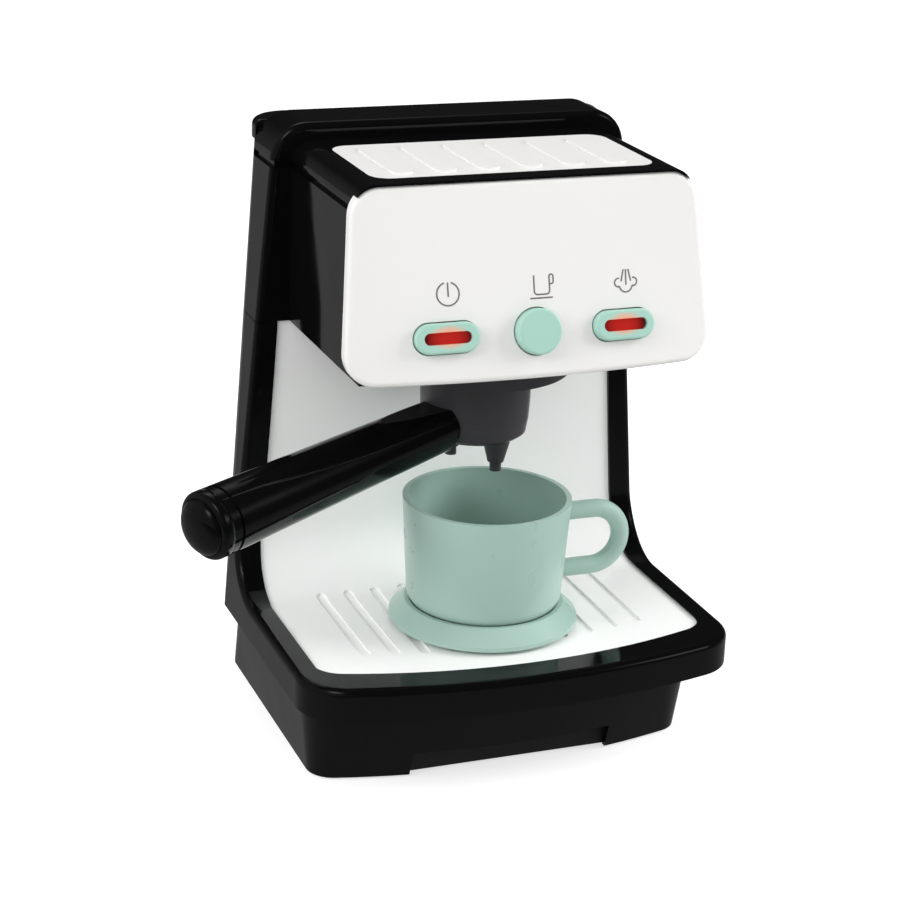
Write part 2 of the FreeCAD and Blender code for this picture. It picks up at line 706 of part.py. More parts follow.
def deck_window(inset):
    """Prism over the white deck's outline, inset all round."""
    low, bend, half_way, high = (S[name] - inset for name in
                                 ("deck_half", "deck_bend_half", "deck_middle_half", "deck_top_half"))
    top = below_low_seam - max(inset, 0)
    bend_top = deck_z + S["deck_thick"]
    middle_z = (bend_top + below_low_seam) / 2

    def p(x, z):
        return vec(x, -FAR / 2, z)

    edges = [
        segment(p(-low, 0), p(low, 0)), segment(p(low, 0), p(low, deck_z)),
        segment(p(low, deck_z), p(bend, bend_top)), arc(p(bend, bend_top), p(half_way, middle_z), p(high, top)),
        segment(p(high, top), p(-high, top)), arc(p(-high, top), p(-half_way, middle_z), p(-bend, bend_top)),
        segment(p(-bend, bend_top), p(-low, deck_z)), segment(p(-low, deck_z), p(-low, 0)),
    ]
    plan = extruded(deck_outline(0, inset), vec(0, 0, FAR))
    return extruded(edges, vec(0, FAR, 0)).common(plan)


def skin(depth_a, depth_b):
    """Layer of the frame between two depths below the swept surface."""
    front_y = -FAR / 2
    return sweep_prism(depth_a, front_y, 0, FAR / 2).cut(sweep_prism(depth_b, front_y, -1, FAR))


def post(x, y, z0, z1, radius):
    return Part.makeCylinder(radius, z1 - z0, vec(x, y, z0))


# Where the case is screwed together
post_x = S["foot_half"] - S["post_offset"]
post_ys = (S["post_front"] - S["foot_front"], S["back_face"] - S["post_rear"])
base_posts = [(side * post_x, y) for side in (-1, 1) for y in post_ys]
cover_low = foot_z + S["cover_inset"]
cover_top = cover_low + S["cover_thick"]
post_top = S["skirt_top"] - S["wall"]
pilot = S["screw_radius"] + S["screw_play"]
skirt_outer = skirt_block(0.0, foot_z)
skirt_inner = skirt_block(S["wall"], foot_z - 1)

lower_outer = skirt_outer.multiFuse([rim_band(0.0, 0.0, S["edge_round"]), outer_frame]).common(below(below_low_seam))
lower_inner = skirt_inner.multiFuse([rim_band(S["wall"], S["deck_wall"], 0.0), inner_frame])
rear_bay = solid_block(-FAR, S["split_plane"], S["rear_sill"], FAR, FAR, FAR)
deck_bed = deck_window(-S["fit_gap"]).cut(sweep_prism(S["deck_sunk"] + S["deck_thick"], -FAR / 2, -1, FAR))
deck_hole = deck_window(S["ledge"]).common(skin(-1, S["deck_wall"] + 1))
notch = solid_block(-S["notch_half"], -FAR, -1, S["notch_half"], S["recess_wall"] - S["notch_back"], S["notch_top"])
lower_body = lower_outer.cut(lower_inner).cut(rear_bay).cut(deck_bed).cut(deck_hole).cut(notch)
posts = []
for x, y in base_posts:
    side = math.copysign(1, x)
    reach = (x, x + side * (S["post_offset"] + S["wall"]))
    web = solid_block(min(reach), y - S["well_wall"] / 2, cover_top, max(reach), y + S["well_wall"] / 2, post_top)
    solid_post = post(x, y, cover_top, post_top, S["post_radius"]).fuse(web.common(skirt_outer))
    posts.append(solid_post.cut(post(x, y, 0, cover_low + S["screw_length"] + S["post_radius"], pilot)))
lower_body = lower_body.multiFuse(posts)
piece("lower_body", lower_body)

deck = skin(S["deck_sunk"], S["deck_sunk"] + S["deck_thick"]).common(deck_window(0.0))


def groove(x):
    """Upright prism over one drip groove, its front end set back from the bowed front."""
    bow_y = -S["deck_front"] + S["deck_bow"] - math.sqrt(S["deck_bow"] ** 2 - x ** 2)
    y0, y1 = bow_y + S["groove_margin"], S["groove_back"]
    edges = slot_edges(y1 - y0, S["groove_width"], lambda u, v: vec(x + v, (y0 + y1) / 2 + u, S["rim_low"]))
    return extruded(edges, vec(0, 0, S["bend_radius"] + S["rim_top"] - S["rim_low"]))


first = -(S["groove_count"] - 1) / 2
grooves = [groove((first + i) * S["groove_pitch"]) for i in range(int(S["groove_count"]))]
under_grooves = sweep_prism(S["deck_sunk"] + S["groove_depth"], -FAR / 2, 0, FAR / 2)
deck = deck.cut(Part.makeCompound(grooves).cut(under_grooves))
piece("deck_panel", deck)

# Head housing: the columns' upper part and the box of the head
head_box = solid_block(-S["head_half"], -FAR / 2, above_low_seam, S["head_half"], S["column_front"] + 1,
                       S["high_seam"])
head_outer = outer_frame.common(above(above_low_seam)).common(below(S["high_seam"])).fuse(head_box)
inner_half = S["head_half"] - S["wall"]
head_inner_box = solid_block(-inner_half, -FAR, above_low_seam + S["wall"], inner_half,
                             S["column_front"] + S["wall"] + 1, FAR)
tongue_half = S["head_half"] - S["seam_depth"]
tongue = frame_block(S["seam_depth"], S["seam_depth"], 0.0).fuse(
    solid_block(-tongue_half, -FAR / 2, S["high_seam"] - 1, tongue_half, S["column_front"] + 3, FAR))
tongue = tongue.common(above(S["high_seam"] - 1)).common(below(above_high_seam))
panel_space = panel_slab(None, S["fascia_thick"])
head_housing = head_outer.fuse(tongue).cut(head_inner_box).cut(thin_frame.common(above(above_low_seam - 1)))
head_housing = head_housing.common(ahead_of(S["split_plane"])).cut(panel_space)
collar_screw_angles = (30, 150, 270)
for angle in collar_screw_angles:
    turn = math.radians(angle)
    x = S["collar_screw_ring"] * math.cos(turn)
    y = brew_y + S["collar_screw_ring"] * math.sin(turn)
    head_housing = head_housing.cut(post(x, y, S["low_seam"] - 1, above_low_seam + S["wall"] + 1,
                                         pilot + S["screw_play"]))
piece("head_housing", head_housing)

# Top cover: the arch and the lid of the head, with a bed for the cup rack
lid_points = [(-S["head_half"], above_high_seam), (S["head_half"], above_high_seam),
              (S["head_half"], S["head_top"]), (-S["head_half"], S["head_top"])]
head_lid_front = panel_front(S["fascia_high"]) - 0.2
lid_edges = rounded_polygon(lid_points, [0, 0, S["head_round"] - 0.6, S["head_round"] - 0.6],
                            lambda u, v: vec(u, head_lid_front, v))
head_lid = extruded(lid_edges, vec(0, S["column_front"] + 2 - head_lid_front, 0))
lid_inner = solid_block(-inner_half + 2, head_lid_front + S["fascia_thick"] + S["wall"], above_high_seam - 1,
                        inner_half - 2, S["column_front"] + S["wall"] + 1, S["head_top"] - S["wall"])
arch = outer_frame.common(above(above_high_seam)).common(ahead_of(S["split_plane"]))
arch_inner = thin_frame.common(ahead_of(S["split_plane"] - S["wall"])).common(above(above_high_seam - 1))


def rack_prism(inset, z0, z1):
    half = S["rack_half"] - inset
    points = [(-half, -S["rack_front"] + inset), (half, -S["rack_front"] + inset),
              (half, S["rack_back"] - inset), (-half, S["rack_back"] - inset)]
    edges = rounded_polygon(points, [S["rack_corner"] - inset] * 4, lambda u, v: vec(u, v, z0))
    return extruded(edges, vec(0, 0, z1 - z0))


panel_bay = panel_space.common(panel_outline(-S["fit_gap"]))
top_cover = arch.fuse(head_lid).cut(arch_inner).cut(lid_inner).cut(panel_bay)
top_cover = top_cover.cut(rack_prism(-S["fit_gap"], S["head_top"] - S["rack_thick"], FAR))
piece("top_cover", top_cover)

rack = rack_prism(0, S["head_top"] - S["rack_thick"], S["head_top"])
rib_middle = (S["rack_back"] - S["rack_front"]) / 2
rib_length = S["rack_back"] + S["rack_front"] - 2 * S["rib_margin"]
for i in range(int(S["rack_ribs"])):
    x = (i - (S["rack_ribs"] - 1) / 2) * S["rib_pitch"]
    edges = slot_edges(rib_length, S["rib_width"], lambda u, v: vec(x + v, rib_middle + u, S["head_top"] - 0.5))
    rack = rack.fuse(extruded(edges, vec(0, 0, S["rib_height"] + 0.5)))
piece("cup_rack", rack.removeSplitter())

# Rear cover, with a shelf for the water tank
rear_outer = skirt_outer.fuse(outer_frame)
rear_inner = skirt_inner.fuse(thin_frame)
rear_zone = solid_block(-FAR, S["split_plane"] + cover_gap, S["rear_sill"] + cover_gap, FAR, FAR,
                        S["lid_low"] - cover_gap)
tank_floor = S["lid_low"] - S["tank_depth"]
tank_front = S["split_plane"] + cover_gap + S["tank_gap"]
tank_back = S["back_face"] - S["wall"] - S["tank_gap"]
shelf = solid_block(-S["tank_half"] - S["wall"], S["split_plane"] + cover_gap, tank_floor - S["shelf_thick"],
                    S["tank_half"] + S["wall"], S["back_face"] - S["wall"] / 2, tank_floor - cover_gap)
rear_cover = rear_outer.cut(rear_inner).common(rear_zone).fuse(shelf.common(rear_outer))
piece("rear_cover", rear_cover)

# Control panel, hollow behind its face, with holes and posts


def panel_place(x):
    """Placement of a frame that lies on the panel's face at the button row: x right, y up, z out."""
    base = FreeCAD.Placement(vec(0, button_y, S["button_height"]),
                             FreeCAD.Rotation(vec(1, 0, 0), 90 - math.degrees(panel_slope)))
    slope = 2 * panel_bow(S["button_height"]) * x / S["fascia_low_half"] ** 2
    yaw = FreeCAD.Rotation(vec(0, 1, 0), math.degrees(math.atan(slope)))
    return base.multiply(FreeCAD.Placement(vec(x, 0, -panel_dip(x)), yaw))


def at_panel(shape, x):
    placed = shape.copy()
    placed.Placement = panel_place(x)
    return placed


def slot_prism(length, width, z0, z1):
    return extruded(slot_edges(length, width, lambda u, v: vec(u, v, z0)), vec(0, 0, z1 - z0))


def front_edges(shape, depth):
    """Edges whose middles lie on the panel's face."""
    chosen = []
    for edge in shape.Edges:
        p = edge.valueAt((edge.FirstParameter + edge.LastParameter) / 2)
        bow = panel_bow(p.z)
        half = S["fascia_low_half"]
        radius = (half ** 2 + bow ** 2) / (2 * bow)
        face_y = panel_front(p.z) + radius - math.sqrt(radius ** 2 - p.x ** 2)
        if abs(p.y - face_y) < depth:
            chosen.append(edge)
    return chosen


panel = panel_slab(0.0, S["fascia_thick"]).common(panel_outline(0.0))
panel = panel.makeFillet(S["fascia_edge"], front_edges(panel, S["fascia_edge"] / 4))
panel_hollow = panel_slab(S["fascia_skin"], S["fascia_thick"] + S["wall"])
panel = panel.cut(panel_hollow.common(panel_outline(S["fascia_thick"])))
pill_places = (-S["pill_offset"], S["pill_offset"])
reach = S["board_depth"]
pill_hole = slot_prism(S["pill_length"] + 2 * S["button_gap"], S["pill_width"] + 2 * S["button_gap"], -reach, reach)
round_hole = Part.makeCylinder(S["round_radius"] + S["button_gap"], 2 * reach, vec(0, 0, -reach))
board_posts = [(side * S["board_post_side"], v) for side in (-1, 1)
               for v in (-S["board_post_low"], S["board_post_high"])]
post_start = -S["fascia_skin"] / 2


def local_post(x, v, radius, z0, z1):
    return at_panel(Part.makeCylinder(radius, z1 - z0, vec(x, v, z0)), 0)


panel = panel.cut(at_panel(pill_hole, pill_places[0])).cut(at_panel(pill_hole, pill_places[1]))
panel = panel.cut(at_panel(round_hole, 0))
for x, v in board_posts:
    solid_post = local_post(x, v, S["board_post_radius"], -reach, post_start - panel_dip(x))
    panel = panel.fuse(solid_post)
    panel = panel.cut(local_post(x, v, pilot, -reach - 1, -reach + S["short_screw"]))
piece("control_panel", panel)

# Push buttons, each drawn in the panel's frame with z pointing out of the panel
button_back = "0 - fascia_skin - flange_clear"
flange_back = button_back + " - flange_thick"
stem_end = "0 - board_depth + switch_height + stem_clear + button_travel"
pill_stem_end = stem_end + " + %.4f" % panel_dip(S["pill_offset"])


def additive(body, kind, name, sizes, places):
    """One primitive of a body, its sizes and place tied to the sheet."""
    item = body.newObject("PartDesign::" + kind, name)
    item.Refine = True
    for prop, text in sizes.items():
        bind(item, prop, text)
    for axis, text in places.items():
        bind(item, "Placement.Base." + axis, text)
    return item


def slot_feature(body, mode, name, length, width, low, high):
    """Slot with round ends from three primitives, between two heights."""
    height = high + " - ( " + low + " )"
    half = "( ( " + length + " ) - ( " + width + " ) ) / 2"
    radius = "( " + width + " ) / 2"
    additive(body, mode + "Box", name + "_middle", {"Length": "2 * " + half, "Width": width, "Height": height},
             {"x": "0 - " + half, "y": "0 - " + radius, "z": low})
    additive(body, mode + "Cylinder", name + "_left", {"Radius": radius, "Height": height},
             {"x": "0 - " + half, "z": low})
    return additive(body, mode + "Cylinder", name + "_right", {"Radius": radius, "Height": height},
                    {"x": half, "z": low})


def edges_at(shape, z, inner_x=0.0, inner_y=0.0):
    """Names of the edges that lie at a height, outside a window round the middle."""
    names = []
    for i, edge in enumerate(shape.Edges, start=1):
        p = edge.valueAt((edge.FirstParameter + edge.LastParameter) / 2)
        flat = all(abs(v.Z - z) < 1e-6 for v in edge.Vertexes) and abs(p.z - z) < 1e-6
        if flat and (abs(p.y) > inner_y or abs(p.x) > inner_x):
            names.append("Edge%d" % i)
    return names


def rounded_edges(body, base, names, radius_text):
    fillet = body.newObject("PartDesign::Fillet", body.Label + "_rounding")
    fillet.Base = (base, names)
    bind(fillet, "Radius", radius_text)
    body.Tip = fillet
    return fillet


def new_body(label):
    body = doc.addObject("PartDesign::Body", label)
    body.Label = label
    return body


def pill_button(label, x):
    body = new_body(label)
    slot_feature(body, "Additive", label + "_cap", "pill_length", "pill_width", flange_back, "pill_proud")
    slot_feature(body, "Additive", label + "_flange", "pill_length + 2 * flange_step",
                 "pill_width + 2 * flange_step", flange_back, button_back)
    additive(body, "AdditiveCylinder", label + "_stem",
             {"Radius": "stem_radius", "Height": button_back + " - ( " + pill_stem_end + " )"},
             {"y": "0 - stem_drop", "z": pill_stem_end})
    last = slot_feature(body, "Subtractive", label + "_window", "lens_length", "lens_width",
                        stem_end, "pill_proud + 1")
    doc.recompute()
    names = edges_at(last.Shape, S["pill_proud"], S["lens_length"] / 2 + S["lens_play"],
                     S["lens_width"] / 2 + S["lens_play"])
    rounded_edges(body, last, names, "button_edge")
    body.Placement = panel_place(x)
    NODES.append(body)


def pill_lens(label, x):
    body = new_body(label)
    slot_feature(body, "Additive", label + "_bar", "lens_length - 2 * lens_play", "lens_width - 2 * lens_play",
                 flange_back, "pill_proud - lens_sunk")
    last = slot_feature(body, "Additive", label + "_flange", "lens_length + 2 * lens_flange",
                        "lens_width + 2 * lens_flange", flange_back + " - lens_flange_thick", flange_back)
    body.Tip = last
    body.Placement = panel_place(x)
    NODES.append(body)


pill_button("power_button", -S["pill_offset"])
pill_lens("power_lens", -S["pill_offset"])
pill_button("steam_button", S["pill_offset"])
pill_lens("steam_lens", S["pill_offset"])

brew = new_body("brew_button")
additive(brew, "AdditiveCylinder", "brew_flange", {"Radius": "round_radius + flange_step", "Height": "flange_thick"},
         {"z": flange_back})
additive(brew, "AdditiveCylinder", "brew_stem",
         {"Radius": "stem_radius", "Height": button_back + " - ( " + stem_end + " )"}, {"z": stem_end})
brew_cap = additive(brew, "AdditiveCylinder", "brew_cap",
                    {"Radius": "round_radius", "Height": "round_proud - ( " + flange_back + " )"}, {"z": flange_back})
doc.recompute()
rounded_edges(brew, brew_cap, edges_at(brew_cap.Shape, S["round_proud"]), "button_edge")
brew.Placement = panel_place(0)
NODES.append(brew)

# Circuit board with its switches, lamps and screws, parallel to the panel
board = box("board_plate", "2 * board_half", "board_low + board_high", "board_thick",
            "0 - board_half", "0 - board_low", "0 - board_depth - board_thick")
post_names = [(x, v) for x in ("board_post_side", "0 - board_post_side")
              for v in ("0 - board_post_low", "board_post_high")]
board_holes = [cylinder("board_hole_%d" % i, "screw_radius + 2 * screw_play", "3 * board_thick", x, v,
                        "0 - board_depth - 2 * board_thick") for i, (x, v) in enumerate(post_names, start=1)]


def fused(name, items):
    item = doc.addObject("Part::MultiFuse", name)
    item.Shapes = items
    item.Refine = True
    return item


def cut_from(name, base, tool):
    item = doc.addObject("Part::Cut", name)
    item.Base = base
    item.Tool = tool
    item.Refine = True
    return item


def node(item, label, placement=None):
    """Make a finished object a named piece."""
    item.Label = label
    if placement:
        item.Placement = placement
    NODES.append(item)
    return item


def screw(name, shank, x, y, z, up=1):
    """A screw along z: its shank runs from z upwards, or downwards, and its head lies on the other side."""
    shank_z = z if up > 0 else z + " - " + shank
    head_z = z + " - screw_head_thick" if up > 0 else z
    return fused(name, [cylinder(name + "_shank", "screw_radius", shank, x, y, shank_z),
                        cylinder(name + "_head", "screw_head", "screw_head_thick", x, y, head_z)])


node(cut_from("board_cut", board, fused("board_holes", board_holes)), "circuit_board", panel_place(0))
board_back = "0 - board_depth - board_thick"
board_screws = [screw("board_screw_%d" % i, "board_thick + short_screw - 0.4", x, v, board_back)
                for i, (x, v) in enumerate(post_names, start=1)]
group("board_screws", board_screws).Placement = panel_place(0)
switch_places = (("0 - pill_offset", "0 - stem_drop"), ("0", "0"), ("pill_offset", "0 - stem_drop"))
switches = [box("switch_%d" % i, "switch_size", "switch_size", "switch_height", x + " - switch_size / 2",
                v + " - switch_size / 2", "0 - board_depth") for i, (x, v) in enumerate(switch_places, start=1)]
group("switches", switches).Placement = panel_place(0)
leds = [cylinder("led_%d" % i, "led_radius", "led_height", x, "led_radius", "0 - board_depth")
        for i, x in enumerate(("0 - pill_offset", "pill_offset"), start=1)]
group("leds", leds).Placement = panel_place(0)

# Brew head: a collar under the head, and a holder that turns in it
brew_place = FreeCAD.Placement(vec(0, brew_y, 0), FreeCAD.Rotation(vec(0, 0, 1), 180 + S["handle_yaw"]))
collar_ring = turned_body("collar_ring", [
    ("collar_bore", "collar_low"), ("collar_radius", "collar_low"), ("collar_radius", "low_seam + seam_gap / 2"),
    ("0", "low_seam + seam_gap / 2"), ("0", "holder_high + 2 * rest_gap"),
    ("lug_radius + 2 * rest_gap", "holder_high + 2 * rest_gap"), ("lug_radius + 2 * rest_gap", "lug_low - rest_gap"),
    ("collar_bore", "lug_low - rest_gap")], None, False)


def sector(name, radius, angle, low, high, turned):
    """Upright wedge of a disc, centred on the handle's direction or opposite it."""
    item = cylinder(name, radius, high + " - ( " + low + " )", "0", "0", low)
    bind(item, "Angle", angle)
    start = turned - S[angle] / 2
    item.Placement = FreeCAD.Placement(item.Placement.Base, FreeCAD.Rotation(vec(0, 0, 1), start))
    return item


def ring_screw_places():
    for angle in collar_screw_angles:
        turn = math.radians(angle - 180 - S["handle_yaw"])
        yield S["collar_screw_ring"] * math.cos(turn), S["collar_screw_ring"] * math.sin(turn)


slots = [sector("slot_%d" % i, "collar_radius + 1", "slot_angle", "collar_low - 1",
                "lug_low + lug_thick + 2 * rest_gap", turn) for i, turn in enumerate((0, 180), start=1)]
collar_holes = [cylinder("collar_hole_%d" % i, "screw_radius + screw_play", "short_screw", "%.4f" % x, "%.4f" % y,
                         "low_seam + seam_gap / 2 + wall - short_screw - rest_gap")
                for i, (x, y) in enumerate(ring_screw_places(), start=1)]
collar_cut = cut_from("collar_cut", collar_ring, fused("collar_slots", slots + collar_holes))
collar_cut.Placement = brew_place
collar_back = box("collar_back", "3 * collar_radius", "collar_radius", "2 * collar_radius", "0 - 1.5 * collar_radius",
                  "column_front + deck_sunk - rest_gap", "collar_low - collar_radius")
node(cut_from("collar_trim", collar_cut, collar_back), "brew_collar")
plate_top = "low_seam + seam_gap / 2 + wall"
collar_screws = [screw("collar_screw_%d" % i, "short_screw", "%.4f" % x, "%.4f" % y, plate_top, -1)
                 for i, (x, y) in enumerate(ring_screw_places(), start=1)]
group("collar_screws", collar_screws).Placement = brew_place

holder_core = turned_body("holder_core", [
    ("0", "holder_low"), ("holder_radius - 4", "holder_low"), ("holder_radius - 1.4", "holder_low + 1.9"),
    ("holder_radius - 0.4", "holder_low + 8"), ("holder_radius", "bowl_floor"), ("holder_radius", "holder_high"),
    ("holder_radius - holder_wall", "holder_high"), ("holder_radius - holder_wall", "bowl_floor"),
    ("0", "bowl_floor")], None, False)
lugs = [sector("lug_%d" % i, "lug_radius", "lug_angle", "lug_low", "lug_low + lug_thick", turn)
        for i, turn in enumerate((0, 180), start=1)]
lug_core = cylinder("lug_core", "holder_radius - holder_wall / 2", "3 * lug_thick", "0", "0", "lug_low - lug_thick")
lug_ring = cut_from("lug_ring", fused("lug_pair", lugs), lug_core)


def spout(name, y):
    cone = doc.addObject("Part::Cone", name + "_cone")
    bind(cone, "Radius1", "spout_low_radius")
    bind(cone, "Radius2", "spout_radius")
    bind(cone, "Height", "holder_low + 1 - spout_neck")
    bind(cone, "Placement.Base.y", y)
    bind(cone, "Placement.Base.z", "spout_neck")
    tip = cylinder(name + "_tip", "tip_radius", "spout_neck + 1 - spout_low", "0", y, "spout_low")
    return [cone, tip]


handle_turn = FreeCAD.Rotation(vec(0, 1, 0), 90 + S["handle_drop"])
handle_axis = handle_turn.multVec(vec(0, 0, 1))


def on_handle(along):
    """Placement of a frame on the handle's axis, with z along the handle."""
    return FreeCAD.Placement(vec(0, 0, S["handle_height"]) + handle_axis * along, handle_turn)


def handle_cylinder(name, radius, height, along):
    item = cylinder(name, radius, height)
    item.setExpression("Placement.Base.x", None)
    item.setExpression("Placement.Base.y", None)
    item.setExpression("Placement.Base.z", None)
    item.Placement = on_handle(along)
    return item


tang_start = S["holder_radius"] - 2 * S["holder_wall"]
tang = handle_cylinder("tang", "tang_radius", "tang_length - holder_radius + 2 * holder_wall", tang_start)
holder_parts = [holder_core, lug_ring, tang] + spout("spout_left", "spout_offset")
holder_parts += spout("spout_right", "0 - spout_offset")
node(fused("holder_fuse", holder_parts), "filter_holder", brew_place)
turned_body("filter_basket", [
    ("0", "bowl_floor + lens_play"), ("holder_radius - holder_wall - fit_gap", "bowl_floor + lens_play"),
    ("holder_radius - holder_wall - fit_gap", "holder_high - fit_gap"),
    ("holder_radius - holder_wall - fit_gap - basket_wall", "holder_high - fit_gap"),
    ("holder_radius - holder_wall - fit_gap - basket_wall", "bowl_floor + lens_play + basket_wall"),
    ("0", "bowl_floor + lens_play + basket_wall")], "0 - brew_axis")

# The handle: a long cone with a flat at its neck, a ring groove and a domed end cap
cone = doc.addObject("Part::Cone", "handle_cone")
bind(cone, "Radius1", "handle_near")
bind(cone, "Radius2", "handle_far")
bind(cone, "Height", "handle_length - holder_radius + 2 * holder_wall")
cone.Placement = on_handle(tang_start)
saddle = cylinder("saddle", "holder_radius + lens_play / 2", "2 * handle_length")
flat = box("neck_flat", "2 * handle_length", "4 * handle_far", "handle_far", "0", "0 - 2 * handle_far", "handle_flat")
bore = handle_cylinder("tang_bore", "tang_radius + lens_play / 2",
                       "tang_length - holder_radius + 2 * holder_wall + rest_gap", tang_start)
groove_at = S["handle_length"] - S["ring_groove_place"]
ring_outer = handle_cylinder("ring_outer", "handle_far + 1", "ring_groove_width", groove_at)
ring_inner = handle_cylinder("ring_inner", "handle_far - ring_groove_depth", "ring_groove_width", groove_at)
ring_cut = cut_from("ring_cut", ring_outer, ring_inner)
handle_cuts = fused("handle_cuts", [saddle, flat, bore, ring_cut])
node(cut_from("handle_cut", cone, handle_cuts), "holder_handle", brew_place)
cap_ball = doc.addObject("Part::Sphere", "cap_ball")
bind(cap_ball, "Radius", "( handle_far * handle_far + cap_dome * cap_dome ) / ( 2 * cap_dome )")
ball_radius = (S["handle_far"] ** 2 + S["cap_dome"] ** 2) / (2 * S["cap_dome"])
cap_ball.Placement = on_handle(S["handle_length"] + S["cap_dome"] - ball_radius)
cap_room = handle_cylinder("cap_room", "2 * handle_far", "2 * cap_dome", S["handle_length"])
dome = doc.addObject("Part::Common", "cap_common")
dome.Base = cap_ball
dome.Tool = cap_room
node(dome, "handle_cap", brew_place)

# Cup and saucer
cup_place = FreeCAD.Placement(vec(-S["cup_shift"], cup_y, deck_z + S["rest_gap"]), FreeCAD.Rotation())
floor_z = S["saucer_floor"] + S["rest_gap"]
cup_frame = cup_place.multiply(FreeCAD.Placement(vec(0, 0, floor_z), FreeCAD.Rotation()))


def rim_edges(shape, radius, z):
    """Names of the full circles of a radius at a height."""
    names = []
    for i, edge in enumerate(shape.Edges, start=1):
        circle = isinstance(edge.Curve, Part.Circle) and abs(edge.Curve.Radius - radius) < 1e-6
        if circle and abs(edge.Curve.Center.z - z) < 1e-6:
            names.append("Edge%d" % i)
    return names


cup_outer = turned_body("cup_outer", [
    ("0", "0"), ("cup_low_radius", "0"), ("cup_radius", "cup_height"), ("0", "cup_height")], None, False)
doc.recompute()
rounded_edges(cup_outer, cup_outer.Tip, rim_edges(cup_outer.Shape, S["cup_low_radius"], 0), "cup_foot")
cup_hollow = turned_body("cup_hollow", [
    ("0", "cup_wall"), ("cup_low_radius - cup_wall", "cup_wall"), ("cup_radius - cup_wall", "cup_height"),
    ("cup_radius - cup_wall", "cup_height + 1"), ("0", "cup_height + 1")], None, False)
doc.recompute()
rounded_edges(cup_hollow, cup_hollow.Tip,
              rim_edges(cup_hollow.Shape, S["cup_low_radius"] - S["cup_wall"], S["cup_wall"]), "cup_foot - cup_wall")


def ear_bar(name, z):
    bar = cylinder(name, "ear_tube", "ear_reach - cup_low_radius / 2")
    for axis in "xyz":
        bar.setExpression("Placement.Base." + axis, None)
    bar.Placement = FreeCAD.Placement(vec(S["cup_low_radius"] / 2, 0, z), FreeCAD.Rotation(vec(0, 1, 0), 90))
    return bar


bend = doc.addObject("Part::Torus", "ear_bend_ring")
bind(bend, "Radius1", "ear_bend")
bind(bend, "Radius2", "ear_tube")
bend.Angle3 = 180
bend.Placement = FreeCAD.Placement(vec(S["ear_reach"], 0, S["ear_height"]),
                                   FreeCAD.Rotation(vec(1, 0, 0), vec(0, 0, 1), vec(0, -1, 0), "XZY")
                                   .multiply(FreeCAD.Rotation(vec(0, 0, 1), -90)))
ear = [ear_bar("ear_high", S["ear_height"] + S["ear_bend"]), ear_bar("ear_low", S["ear_height"] - S["ear_bend"])]
cup_solid = fused("cup_solid", [cup_outer, bend] + ear)
node(cut_from("cup_cut", cup_solid, cup_hollow), "cup", cup_frame)
saucer = turned_body("saucer", [
    ("saucer_foot - saucer_wall", "0"), ("saucer_foot", "0"), ("saucer_radius", "saucer_rise"),
    ("saucer_radius", "saucer_rise + saucer_edge"), ("saucer_ring", "saucer_floor + saucer_lip"),
    ("saucer_well", "saucer_floor + saucer_lip"), ("saucer_well", "saucer_floor"), ("0", "saucer_floor"),
    ("0", "saucer_floor - saucer_wall"), ("saucer_foot - saucer_wall", "saucer_floor - saucer_wall")], None)
saucer.Placement = cup_place

# Bottom cover with the finger recess and the battery well
cover_gap_inset = S["wall"] + S["fit_gap"]
plate = extruded(foot_outline(cover_low, cover_gap_inset), vec(0, 0, S["cover_thick"]))
plate = plate.common(skirt_block(cover_gap_inset, foot_z - 1))
cover_room = skirt_block(S["wall"] + S["rest_gap"], foot_z - 1)
recess_half = S["notch_half"] + S["recess_wall"]
recess_back = S["recess_wall"] - S["notch_back"]
recess_roof = S["notch_top"] + S["fit_gap"]
recess_shell = solid_block(-recess_half, -FAR, cover_low, recess_half, recess_back, recess_roof + S["recess_wall"])
recess_shell = recess_shell.common(cover_room)
recess_room = solid_block(-S["notch_half"], -FAR, -1, S["notch_half"], -S["notch_back"], recess_roof)
well_half_x = S["cell_length"] / 2 + S["well_spare"]
well_half_y = ((S["cell_count"] - 1) * S["cell_pitch"] / 2) + S["cell_radius"] + S["rest_gap"]
cell_z = cover_low + S["door_thick"] + S["fit_gap"] + S["rest_gap"] + S["cell_radius"]
well_roof = cell_z + S["cell_radius"] + 2 * S["rest_gap"]
boss_x = well_half_x + S["well_wall"] + S["post_radius"] - S["screw_play"]


def centred_block(half_x, half_y, z0, z1):
    return solid_block(-half_x, S["cell_middle"] - half_y, z0, half_x, S["cell_middle"] + half_y, z1)


well_outer = centred_block(well_half_x + S["well_wall"], well_half_y + S["well_wall"], cover_low,
                           well_roof + S["well_wall"])
well_inner = centred_block(well_half_x, well_half_y, -1, well_roof)
rebate_end = boss_x + S["post_radius"]


def door_shape(gap, z0, z1):
    edge = S["door_rebate"] - gap
    return solid_block(-well_half_x - edge, S["cell_middle"] - well_half_y - edge, z0,
                       rebate_end - gap, S["cell_middle"] + well_half_y + edge, z1)


